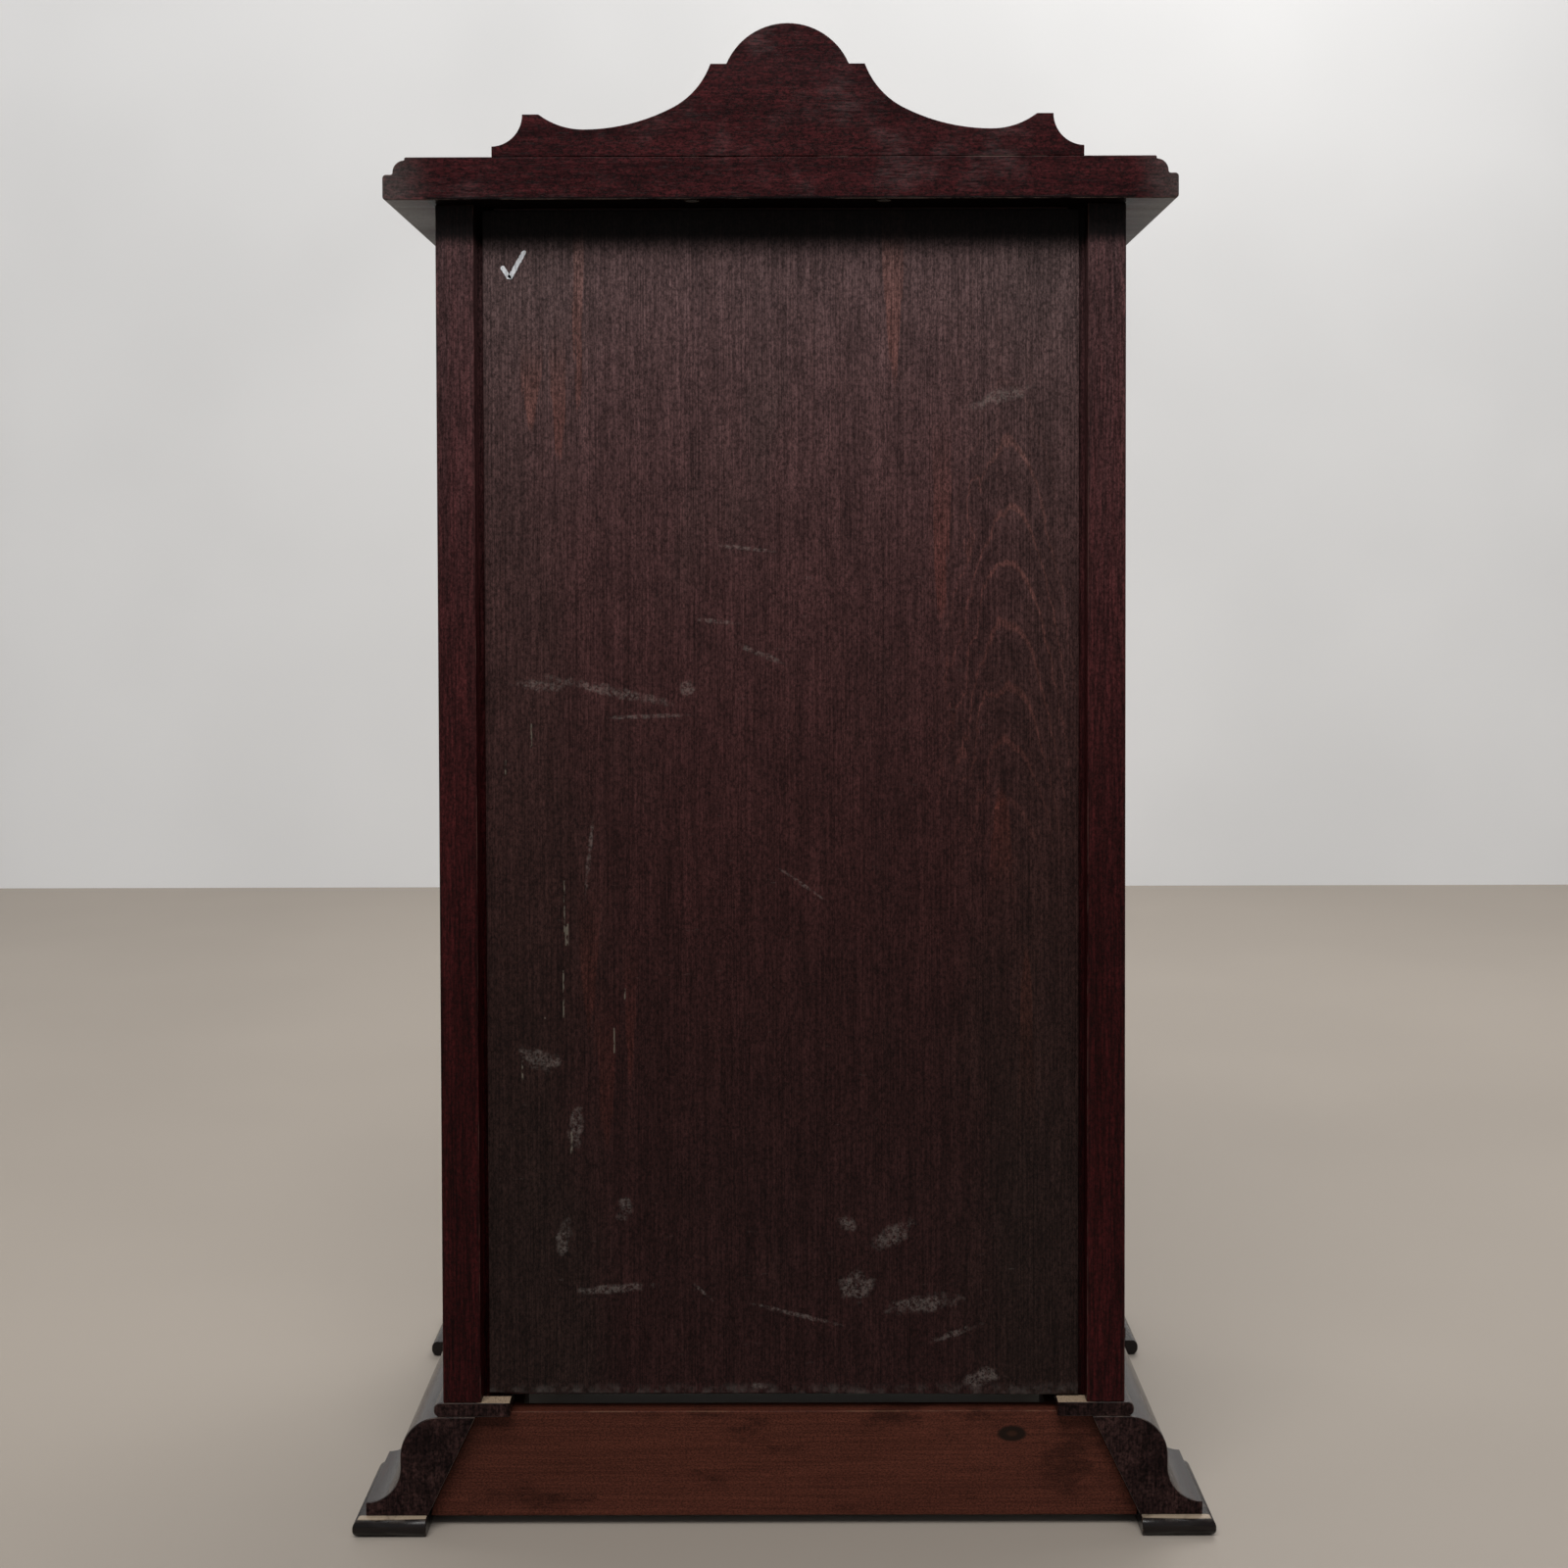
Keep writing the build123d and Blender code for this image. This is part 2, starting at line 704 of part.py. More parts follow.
def crest_outline():
    """Right half of the crest: hollowed end, ear, long sweep, shoulder and dome. Y starts at its foot."""
    sweep = math.radians(crest_sweep_angle)
    sweep_centre = (crest_dip_x, crest_dip_h + crest_sweep_r)
    bend = (crest_dip_x - crest_sweep_r * math.sin(sweep), sweep_centre[1] - crest_sweep_r * math.cos(sweep))
    ear_drop = crest_ear_h - crest_dip_h
    ear_run = crest_ear_in - crest_dip_x
    ear_sweep_r = (ear_run ** 2 + ear_drop ** 2) / (2 * ear_drop)
    ear_angle = math.degrees(math.asin(ear_run / ear_sweep_r))
    dome_rise = crest_dome_h - crest_shoulder_h
    dome_r = (crest_shoulder_in ** 2 + dome_rise ** 2) / (2 * dome_rise)
    end_r = crest_ear_h - crest_end_h
    Polyline((0, crest_dome_h), (0, 0), (crest_half_w, 0), (crest_half_w, crest_end_h))
    RadiusArc((crest_half_w, crest_end_h), (crest_ear_out, crest_ear_h), end_r)
    Line((crest_ear_out, crest_ear_h), (crest_ear_in, crest_ear_h))
    CenterArc((crest_dip_x, crest_dip_h + ear_sweep_r), ear_sweep_r, 270 + ear_angle, -ear_angle)
    CenterArc(sweep_centre, crest_sweep_r, 270, -crest_sweep_angle)
    TangentArc(bend, (crest_shoulder_out, crest_shoulder_h), tangent=(-math.cos(sweep), math.sin(sweep)))
    Line((crest_shoulder_out, crest_shoulder_h), (crest_shoulder_in, crest_shoulder_h))
    RadiusArc((crest_shoulder_in, crest_shoulder_h), (0, crest_dome_h), -dome_r)


def crest():
    with BuildPart() as board:
        with BuildSketch(Plane(origin=(crest_offset, crest_y[1], z_crest), x_dir=(1, 0, 0), z_dir=(0, -1, 0))):
            with BuildLine():
                crest_outline()
            make_face()
            mirror(about=Plane.YZ)
        extrude(amount=crest_t)
        crest_screw_holes()
    write(board, "crest")
    with BuildPart() as screws:
        for head in crest_screw_heads():
            screw(head, **crest_screw)
            screw_slot(head, crest_screw["head_r"])
    write(screws, "crest_screws")


# ---------------------------------------------------------------- shelves

def shelves():
    half = post_in - shelf_side_gap
    y = (front_y + shelf_front_in, panel_front_y - shelf_side_gap)
    for name, top in zip(("lower", "middle", "upper"), shelf_tops):
        with BuildPart() as shelf:
            block((-half, half), y, (top - shelf_t, top))
            fillet(shelf.edges().filter_by(Axis.X).group_by(Axis.Y)[0], shelf_t / 3)
        write(shelf, f"shelf_{name}")
    with BuildPart() as pins:
        shelf_pins(-1)
        shelf_pins(1)
    write(pins, "shelf_pins")


# ---------------------------------------------------------------- door

door_opening = (door_open_x, door_open_z)
door_rails = {"top": (door_open_z[1], door_z[1]), "bottom": (door_z[0], door_open_z[0])}


def door_stiles():
    """Hinge stile on the left, lock stile on the right."""
    for side, across in ((-1, (door_x[0], door_open_x[0])), (1, (door_open_x[1], door_x[1]))):
        with BuildPart(FRONT) as blank:
            block(across, door_z, (-door_t, 0))
            frame_rebate(door_opening, lip_door, door_t)
            for up in door_rails.values():
                frame_tenons(door_open_x, up, grow=tenon_gap, mode=Mode.SUBTRACT)
        with BuildPart() as stile:
            add(blank.part)
            if side < 0:
                hinge_leaf_recesses(1)
                hinge_screw_holes(1)
            else:
                lock_recess()
        write(stile, "door_hinge_stile" if side < 0 else "door_lock_stile")


def door_frame():
    for name, up in door_rails.items():
        with BuildPart(FRONT) as rail:
            block(door_open_x, up, (-door_t, 0))
            frame_tenons(door_open_x, up)
            frame_rebate(door_opening, lip_door, door_t)
        write(rail, f"door_{name}_rail")
    with BuildPart(FRONT) as glass:
        frame_glass(door_opening, lip_door)
    write(glass, "door_glass")
    with BuildPart(FRONT) as beads:
        frame_beads(door_opening, lip_door, door_t)
    write(beads, "door_glazing_beads")


def door_stop():
    """Strip on the right post that the closed door rests against."""
    y = front_y + door_t + stop_gap
    with BuildPart() as stop:
        block((post_in - stop_w, post_in), (y, y + stop_t), door_z)
    write(stop, "door_stop")


# ---------------------------------------------------------------- hinges

def leaf_x(side):
    """X range of the case leaf (side -1) or the door leaf (side 1)."""
    face = hinge_x + side * door_gap / 2
    return tuple(sorted((face, face + side * hinge_leaf_t)))


def hinge_leaf_recesses(side):
    """Shallow recesses that let the leaves in flush."""
    for level in hinge_levels.values():
        up = wider((level - hinge_h / 2, level + hinge_h / 2), fit_gap)
        face = hinge_x + side * door_gap / 2
        across = tuple(sorted((face - side * cut_over / 4, face + side * (hinge_leaf_t + fit_gap))))
        block(across, (front_y - cut_over, front_y + hinge_leaf_d + fit_gap), up, mode=Mode.SUBTRACT)


def hinges():
    """Butt hinges: the case leaf has the outer and middle knuckles, the door leaf the two between."""
    pitch = hinge_h / knuckle_count
    for place, level in hinge_levels.items():
        foot = level - hinge_h / 2
        for side, body in ((-1, "case"), (1, "door")):
            own = range(0, knuckle_count, 2) if side < 0 else range(1, knuckle_count, 2)
            with BuildPart() as leaf:
                block(leaf_x(side), (front_y + knuckle_gap, front_y + hinge_leaf_d), (foot, foot + hinge_h))
                for n in own:
                    up = wider((foot + n * pitch, foot + (n + 1) * pitch), -knuckle_gap / 2)
                    block(leaf_x(side), (hinge_y, front_y + knuckle_gap), up)
                    with Locations((hinge_x, hinge_y, sum(up) / 2)):
                        Cylinder(knuckle_r, up[1] - up[0])
                with Locations((hinge_x, hinge_y, level)):
                    Cylinder(hinge_pin_r + running_gap, hinge_h, mode=Mode.SUBTRACT)
                hinge_screw_holes(side)
            write(leaf, f"hinge_{place}_{body}_leaf")
    with BuildPart() as pins:
        for level in hinge_levels.values():
            with Locations((hinge_x, hinge_y, level)):
                Cylinder(hinge_pin_r, hinge_h)
            for end in (-1, 1):
                with Locations((hinge_x, hinge_y, level + end * (hinge_h + hinge_pin_head) / 2)):
                    Cylinder(knuckle_r * 0.75, hinge_pin_head)
    write(pins, "hinge_pins")
    for side, body in ((-1, "case"), (1, "door")):
        with BuildPart() as screws:
            for head in hinge_screw_heads(side):
                screw(head, **hinge_screw)
                screw_slot(head, hinge_screw["head_r"])
        write(screws, f"hinge_screws_{body}")


# ---------------------------------------------------------------- lock, key and strike

def keyhole(depth):
    """Cuts a keyhole back from the front of the door: a round for the shaft, a slot below for the bit."""
    slot_h = key_bit_l + keyhole_slot_gap
    block((key_x - key_bit_w / 2 - keyhole_slot_gap, key_x + key_bit_w / 2 + keyhole_slot_gap),
          (front_y - cut_over, front_y + depth), (key_z - slot_h, key_z), mode=Mode.SUBTRACT)
    with Locations(Plane(origin=(key_x, front_y + depth, key_z), z_dir=(0, -1, 0))):
        Cylinder(key_shaft_r + key_gap, depth + cut_over, mode=Mode.SUBTRACT,
                 align=(Align.CENTER, Align.CENTER, Align.MIN))


def lock_recess():
    """Pocket for the lock in the back of the stile, and the keyhole in front of it."""
    pocket_y = (front_y + door_t - lock_t, front_y + door_t + cut_over)
    up = wider((key_z - lock_h / 2, key_z + lock_h / 2), fit_gap)
    block((lock_x[0] - fit_gap, lock_x[1] + cut_over), pocket_y, up, mode=Mode.SUBTRACT)
    keyhole(door_t - lock_t)


def bolt_block(grow=0.0, reach=0.0, mode=Mode.ADD):
    """The lock's bolt at rest, or, grown and run on by reach, its channel."""
    middle = front_y + bolt_y
    y = wider((middle - bolt_t / 2, middle + bolt_t / 2), grow)
    block((bolt_x[0] - grow, bolt_x[1] + reach), y, wider(bolt_z, grow), mode=mode)


def lock():
    y = (front_y + door_t - lock_t, front_y + door_t)
    chamber_y = wider(y, -1.0)
    with BuildPart() as case:
        block(lock_x, y, (key_z - lock_h / 2, key_z + lock_h / 2))
        bolt_block(grow=bolt_gap, reach=cut_over, mode=Mode.SUBTRACT)
        with Locations(Plane(origin=(key_x, chamber_y[0], key_z), z_dir=(0, 1, 0))):
            Cylinder(key_chamber_r, chamber_y[1] - chamber_y[0], mode=Mode.SUBTRACT,
                     align=(Align.CENTER, Align.CENTER, Align.MIN))
        keyhole(door_t - lock_t / 2)
    write(case, "lock_case")
    with BuildPart() as bolt:
        bolt_block()
    write(bolt, "lock_bolt")


def key():
    """Shaft along Y with a ring bow in front of the door and a bit inside the lock, hanging down."""
    chamber_front = front_y + door_t - lock_t + 1.0
    tip = chamber_front + key_bit_t + 1.5
    bow_y = front_y - key_out
    with BuildPart() as piece:
        with Locations(Plane(origin=(key_x, bow_y, key_z), z_dir=(0, 1, 0))):
            Cylinder(key_shaft_r, tip - bow_y, align=(Align.CENTER, Align.CENTER, Align.MIN))
        bit_y = (chamber_front + keyhole_slot_gap, chamber_front + keyhole_slot_gap + key_bit_t)
        block((key_x - key_bit_w / 2, key_x + key_bit_w / 2), bit_y, (key_z - key_bit_l, key_z))
        with Locations(Plane(origin=(key_x, bow_y - key_bow_r + key_bow_bar, key_z), z_dir=(1, 0, 0))):
            Torus(key_bow_r - key_bow_bar, key_bow_bar)
    write(piece, "key")


def escutcheon():
    with BuildPart() as plate:
        with BuildSketch(FRONT):
            with Locations((key_x, key_z - key_bit_l / 3)):
                Ellipse(escutcheon_w / 2, escutcheon_h / 2)
        extrude(amount=escutcheon_t)
        fillet(plate.edges().group_by(Axis.Y)[0], escutcheon_t / 2)
        keyhole(0)
    write(plate, "escutcheon")


def strike_recess():
    """Recess for the strike plate in the right post, and the mortise that the bolt enters."""
    middle = front_y + bolt_y
    up = sum(bolt_z) / 2
    block((post_in - cut_over, post_in + strike_t), wider((middle - strike_d / 2, middle + strike_d / 2), fit_gap),
          wider((up - strike_h / 2, up + strike_h / 2), fit_gap), mode=Mode.SUBTRACT)
    y = wider((middle - bolt_t / 2, middle + bolt_t / 2), strike_gap)
    block((post_in, post_in + bolt_throw + strike_t), y, wider(bolt_z, strike_gap), mode=Mode.SUBTRACT)


def strike_plate():
    middle = front_y + bolt_y
    up = sum(bolt_z) / 2
    y = wider((middle - bolt_t / 2, middle + bolt_t / 2), strike_gap)
    with BuildPart() as plate:
        block((post_in, post_in + strike_t), (middle - strike_d / 2, middle + strike_d / 2),
              (up - strike_h / 2, up + strike_h / 2))
        block((post_in - cut_over, post_in + strike_t + cut_over), y, wider(bolt_z, strike_gap),
              mode=Mode.SUBTRACT)
    write(plate, "strike_plate")


# ---------------------------------------------------------------- the whole cabinet

rear_pad()
front_pad()
plinth_sides()
plinth_front()
plinth_back_board()
corner_blocks()
waist_strips()
rear_posts()
front_posts()
side_frames()
bottom_board()
top_rails()
back_panel()
top_board()
crest()
shelves()
door_stiles()
door_frame()
door_stop()
hinges()
lock()
key()
escutcheon()
strike_plate()
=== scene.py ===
"""The looks of a glazed curio cabinet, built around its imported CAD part.

Metres, in the part's own frame. The front is -Y and the camera looks at the back, +Y. Left is -X, as
seen from the front. Every wooden piece is a worn copy of its CAD solid: its long arrises are rounded,
rubbed and chipped as real edges. Metal and glass keep their CAD solids, with their edges eased.
"""

import json
import math

import bmesh
import bpy
from mathutils import Matrix, Vector, noise

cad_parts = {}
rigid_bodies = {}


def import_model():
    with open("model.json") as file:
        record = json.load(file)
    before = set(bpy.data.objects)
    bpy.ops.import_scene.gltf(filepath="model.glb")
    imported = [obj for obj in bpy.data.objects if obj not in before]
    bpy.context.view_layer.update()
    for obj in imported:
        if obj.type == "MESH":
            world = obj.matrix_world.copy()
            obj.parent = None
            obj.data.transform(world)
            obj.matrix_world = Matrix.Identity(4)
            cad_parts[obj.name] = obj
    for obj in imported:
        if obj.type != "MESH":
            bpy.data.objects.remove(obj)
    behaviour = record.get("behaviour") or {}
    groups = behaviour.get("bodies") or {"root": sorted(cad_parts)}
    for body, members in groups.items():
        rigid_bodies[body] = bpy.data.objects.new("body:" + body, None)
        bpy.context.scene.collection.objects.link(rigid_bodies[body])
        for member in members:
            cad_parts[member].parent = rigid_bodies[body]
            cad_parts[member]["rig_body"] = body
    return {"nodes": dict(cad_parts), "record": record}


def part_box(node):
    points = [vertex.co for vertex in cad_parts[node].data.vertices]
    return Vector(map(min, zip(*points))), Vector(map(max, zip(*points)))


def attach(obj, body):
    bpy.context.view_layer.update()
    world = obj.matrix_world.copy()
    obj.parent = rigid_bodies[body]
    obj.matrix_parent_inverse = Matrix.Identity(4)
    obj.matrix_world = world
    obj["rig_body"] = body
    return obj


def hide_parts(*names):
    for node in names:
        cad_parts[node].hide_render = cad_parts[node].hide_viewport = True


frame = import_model()
nodes = frame["nodes"]
slots = {part["node"]: part["material_slot"] for part in frame["record"]["subparts"]}
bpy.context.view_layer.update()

MM = 0.001
X, Y, Z = 0, 1, 2

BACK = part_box("rear_post_left")[1].y
CASE_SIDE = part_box("rear_post_right")[1].x
UNDER_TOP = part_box("top_board")[0].z
PANEL_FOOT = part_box("back_panel")[0].z
PANEL_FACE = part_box("back_panel")[1].y


# ---------------------------------------------------------------- materials

# ranges of a noise's values for a ramp: the narrower the range, the harder the contrast
WIDE, EVEN, HARD = (0.3, 0.7), (0.34, 0.66), (0.36, 0.64)

DULL = 0.09  # the specular level of a stain with little polish left on it
SHEEN_AND_FADE_SPAN = (0.15, 0.71)  # heights between which the back goes paler: polish gone dull, and a painted sheen of light from above


class Shader:
    """One node material. Its methods add nodes and give back an output socket."""

    def __init__(self, name, **constants):
        self.material = bpy.data.materials.new(name)
        self.material.use_nodes = True
        self.tree = self.material.node_tree
        self.bsdf = self.tree.nodes["Principled BSDF"]
        for socket, value in constants.items():
            self.bsdf.inputs[socket.replace("_", " ")].default_value = value
        coordinates = self.tree.nodes.new("ShaderNodeTexCoord")
        self.place = coordinates.outputs["Object"]
        self.facing = self.split(coordinates.outputs["Normal"])
        self.axes = self.split(self.place)

    def wire(self, socket, value):
        if isinstance(value, bpy.types.NodeSocket):
            self.tree.links.new(value, socket)
        else:
            socket.default_value = value

    def split(self, vector):
        node = self.tree.nodes.new("ShaderNodeSeparateXYZ")
        self.wire(node.inputs[0], vector)
        return list(node.outputs)

    def attribute(self, name):
        node = self.tree.nodes.new("ShaderNodeAttribute")
        node.attribute_name = name
        return node.outputs["Fac"]

    # numbers

    def math(self, operation, *values, clamp=False):
        node = self.tree.nodes.new("ShaderNodeMath")
        node.operation = operation
        node.use_clamp = clamp
        for socket, value in zip(node.inputs, values):
            self.wire(socket, value)
        return node.outputs[0]

    def times(self, *values):
        product = values[0]
        for value in values[1:]:
            product = self.math("MULTIPLY", product, value)
        return product

    def plus(self, *values):
        total = values[0]
        for value in values[1:]:
            total = self.math("ADD", total, value)
        return total

    def most(self, *values):
        top = values[0]
        for value in values[1:]:
            top = self.math("MAXIMUM", top, value)
        return top

    def size(self, value):
        return self.math("ABSOLUTE", value)

    def sway(self, value, reach=1.0):
        """A noise moved from about a half to about zero, and scaled."""
        return self.times(self.math("SUBTRACT", value, 0.5), reach)

    def ramp(self, value, low, high, first=0.0, last=1.0):
        """Eases from first to last as value goes from low to high, and stays there outside."""
        node = self.tree.nodes.new("ShaderNodeMapRange")
        node.interpolation_type = "SMOOTHSTEP"
        for socket, number in zip(node.inputs, (value, low, high, first, last)):
            self.wire(socket, number)
        return node.outputs[0]

    def end_grain(self, axis):
        """1 on faces that look along the axis, and 0 on those beside it."""
        return self.ramp(self.size(self.facing[axis]), 0.55, 0.85)

    def grain(self, across, along=None, axis=Z, detail=4.0, rough=0.55, seed=0.0):
        """Noise about across metres wide, drawn out to along metres on the grain's own axis."""
        scale = [1 / across] * 3
        if along:
            scale[axis] = 1 / along
        mapping = self.tree.nodes.new("ShaderNodeMapping")
        self.wire(mapping.inputs["Vector"], self.place)
        mapping.inputs["Location"].default_value = (7.3 * seed, 3.1 * seed, 5.7 * seed)
        mapping.inputs["Scale"].default_value = scale
        node = self.tree.nodes.new("ShaderNodeTexNoise")
        self.wire(node.inputs["Vector"], mapping.outputs[0])
        node.inputs["Scale"].default_value = 1.0
        node.inputs["Detail"].default_value = detail
        node.inputs["Roughness"].default_value = rough
        return node.outputs["Fac"]

    def specks(self, spacing, radius, seed, share):
        """Small round spots, about one to each spacing, of which a share are there."""
        mapping = self.tree.nodes.new("ShaderNodeMapping")
        self.wire(mapping.inputs["Vector"], self.place)
        mapping.inputs["Location"].default_value = (seed, 2 * seed, 3 * seed)
        node = self.tree.nodes.new("ShaderNodeTexVoronoi")
        self.wire(node.inputs["Vector"], mapping.outputs[0])
        node.inputs["Scale"].default_value = 1 / spacing
        chance_of_size, chance_of_speck, _ = self.split(node.outputs["Color"])
        size = self.ramp(chance_of_size, 0.0, 1.0, 0.35, 1.0)
        edge = self.math("DIVIDE", node.outputs["Distance"], self.times(size, radius / spacing))
        there = self.ramp(chance_of_speck, 1 - share, 1 - share + 0.02)
        return self.times(self.ramp(edge, 1.0, 0.6), there)

    # colours

    def mix(self, amount, first, second, blend="MIX"):
        node = self.tree.nodes.new("ShaderNodeMix")
        node.data_type = "RGBA"
        node.blend_type = blend
        for index, value in ((0, amount), (6, first), (7, second)):
            if isinstance(value, tuple):
                value = (*value, 1.0)
            self.wire(node.inputs[index], value)
        return node.outputs[2]

    def grey(self, value):
        node = self.tree.nodes.new("ShaderNodeCombineColor")
        for socket in node.inputs:
            self.wire(socket, value)
        return node.outputs[0]

    def shade(self, colour, amount):
        """The colour, darker where amount is low: amount 1 leaves it as it is."""
        return self.mix(1.0, colour, self.grey(amount), "MULTIPLY")

    def vary(self, colour, value, low, high, first, last):
        """The colour, shaded from first to last as value goes from low to high."""
        return self.shade(colour, self.ramp(value, low, high, first, last))

    def darken(self, colour, mask, least):
        """The colour, shaded to least where the mask is 1."""
        return self.vary(colour, mask, 0.0, 1.0, 1.0, least)

    def lay(self, colour, over, *masks):
        """The colour with another over it, as far as all the masks let that show."""
        return self.mix(self.times(*masks), colour, over)

    def tint(self, colour, gain, *masks):
        """The colour with its red, green and blue scaled, as far as all the masks let that show."""
        return self.lay(colour, self.mix(1.0, colour, gain, "MULTIPLY"), *masks)

    def sheen_and_bloom(self, colour, red, grey):
        """Paler with height, as polish gone dull and a painted sheen of light from above: red by the
        square of the rise, grey by its cube.
        """
        low, high = SHEEN_AND_FADE_SPAN
        rise = self.math("DIVIDE", self.plus(self.axes[Z], -low), high - low, clamp=True)
        colour = self.mix(self.times(rise, rise), colour, (red, 0.0, 0.0), "ADD")
        return self.mix(self.times(rise, rise, rise), colour, (0.0, grey, grey * 1.02), "ADD")

    def finish(self, colour, roughness, height=None, relief=0.0):
        self.wire(self.bsdf.inputs["Base Color"], colour)
        self.wire(self.bsdf.inputs["Roughness"], roughness)
        if height is not None:
            bump = self.tree.nodes.new("ShaderNodeBump")
            bump.inputs["Strength"].default_value = 1.0
            bump.inputs["Distance"].default_value = relief
            self.wire(bump.inputs["Height"], height)
            self.tree.links.new(bump.outputs[0], self.bsdf.inputs["Normal"])
        return self.material


HAZE = (0.030, 0.026, 0.026)
# the pale grey of a painted reflection of the bright room, on the top board's ends
REFLECTED_GREY = (0.150, 0.144, 0.136)
RAW_WOOD = (0.34, 0.25, 0.17)


def painted_reflection_on_ends(s, colour, cloud, dust, start, full):
    """A painted reflection of the bright room: pale grey over both ends of a board, mostly where it
    overhangs, from start to full along X. The dust argument only varies that grey in flecks.
    """
    reach = s.ramp(s.plus(s.size(s.axes[X]), s.sway(cloud, 0.05)), start, full)
    overhang = s.ramp(s.facing[Z], -0.9, -0.4, 0.95, 0.28)
    return s.lay(colour, s.shade(REFLECTED_GREY, dust), reach, overhang)


def painted_shade_under_top(s, colour, lit_height, black):
    """Painted shade under the top board's overhang, from the lit height to the black one, on the case
    but not outside it.
    """
    beyond = s.ramp(s.size(s.axes[X]), CASE_SIDE + 1 * MM, CASE_SIDE + 4 * MM)
    return s.shade(colour, s.most(beyond, s.ramp(s.axes[Z], lit_height, black, 1.0, 0.08)))


def raw_ledge(s, colour, mottle, start):
    """Unstained wood on an upward face, inside the case and from start to the back."""
    behind = s.ramp(s.axes[Y], start - 0.5 * MM, start)
    upward = s.ramp(s.facing[Z], 0.8, 0.95)
    inside = s.ramp(s.size(s.axes[X]), 0.171, 0.167)
    return s.lay(colour, RAW_WOOD, s.times(behind, upward, inside), s.ramp(mottle, 0.3, 0.5))


def wood(name, axis, dark, light, worn, seed, rough=0.42, gloss=DULL, end=None, rub=0.5, sheen_and_bloom=None,
         hazy=0.0, ends_reflection=None, shade_under_top=None, raw_from=None, fibre_long=0.03, fibres=0.45, speckles=0.55):
    """Stained and polished timber: bands, fibres and pores along the axis, end grain across it."""
    s = Shader(name, Specular_IOR_Level=gloss)
    band = s.grain(9 * MM, 0.22, axis, 5, 0.6, seed)
    ring = s.math("SINE", s.times(s.grain(26 * MM, 0.5, axis, 2, 0.45, seed + 3), 95.0))
    fibre = s.grain(1.2 * MM, fibre_long, axis, 4, 0.65, seed + 1)
    pore = s.ramp(s.grain(0.38 * MM, 0.009, axis, 2, 0.5, seed + 2), 0.6, 0.72)
    cloud = s.grain(60 * MM, 0.2, axis, 3, 0.5, seed + 4)
    mottle = s.grain(0.9 * MM, None, axis, 4, 0.7, seed + 5)
    speckle = s.grain(1.1 * MM, 1.9 * MM, axis, 4, 0.8, seed + 9)

    tone = s.plus(s.times(band, 0.9), s.times(ring, 0.06), s.times(fibre, 0.35), -0.2)
    colour = s.mix(s.ramp(tone, 0.2, 0.62), dark, light)
    # painted sheen of light from above, over polish gone dull: paler towards the top
    if sheen_and_bloom:
        colour = s.sheen_and_bloom(colour, *sheen_and_bloom)
    colour = s.vary(colour, cloud, *WIDE, 0.85, 1.12)
    colour = s.vary(colour, fibre, 0.32, 0.68, 1 - fibres, 1 + fibres)
    colour = s.vary(colour, speckle, *HARD, 1 - speckles, 1 + speckles)
    colour = s.darken(colour, pore, 0.5)
    if hazy:
        patch = s.ramp(s.grain(34 * MM, None, axis, 4, 0.6, seed + 10), 0.5, 0.72)
        colour = s.mix(s.times(patch, s.ramp(fibre, *WIDE), hazy), colour, HAZE, "ADD")
    # painted reflection: pale grey over the board's ends, mostly on the overhang's underside
    if ends_reflection:
        colour = painted_reflection_on_ends(s, colour, cloud, s.times(speckle, mottle, 4.0), *ends_reflection)
    # painted shade under the top board's overhang
    if shade_under_top:
        colour = painted_shade_under_top(s, colour, *shade_under_top)
    across = s.end_grain(axis)
    colour = s.lay(colour, s.vary(end or dark, mottle, *EVEN, 0.15, 1.75), across)
    if raw_from is not None:
        colour = raw_ledge(s, colour, mottle, raw_from)

    scratches = s.ramp(s.grain(2.2 * MM, 0.02, axis, 4, 0.7, seed + 6), 0.62, 0.74)
    scuff = s.times(scratches, s.ramp(s.grain(70 * MM, None, axis, 2, 0.5, seed + 7), 0.5, 0.65))
    colour = s.lay(colour, worn, scuff, 0.2 * rub)
    gaps = s.ramp(s.grain(7 * MM, 0.03, axis, 4, 0.7, seed + 8), 0.46, 0.62)
    bare = s.times(s.attribute("edge"), gaps)
    colour = s.lay(colour, worn, bare, rub)
    roughness = s.plus(rough, s.sway(band, 0.25), s.times(scuff, 0.15))
    roughness = s.plus(roughness, s.times(across, 0.2), s.times(bare, 0.2))
    height = s.plus(s.times(fibre, 0.5), s.times(pore, -0.8), s.times(mottle, across, 1.5))
    return s.finish(colour, roughness, height, 0.06 * MM)


WARM_PLY, DRAB_PLY = (0.0185, 0.0070, 0.0066), (0.0150, 0.0078, 0.0066)
PALE_RUB = (0.075, 0.066, 0.060)
OLD_PAINT, OLD_GLUE = (0.20, 0.17, 0.14), (0.16, 0.14, 0.11)
GREY_EDGE = (0.15, 0.13, 0.12)

# paler tongues in the grain: the tip's x and z, the width, the length, and 1 for up or -1 for down
TONGUES = (
    (0.1225, 0.590, 0.006, 0.085, 1), (0.138, 0.607, 0.007, 0.06, 1), (0.112, 0.612, 0.004, 0.16, 1),
    (0.1075, 0.272, 0.007, 0.10, 1), (0.098, 0.208, 0.008, 0.11, 1), (0.084, 0.245, 0.005, 0.09, 1),
    (-0.1215, 0.416, 0.010, 0.075, -1), (-0.135, 0.33, 0.006, 0.12, -1),
    (-0.062, 0.63, 0.008, 0.14, 1), (-0.088, 0.50, 0.007, 0.13, 1),
)

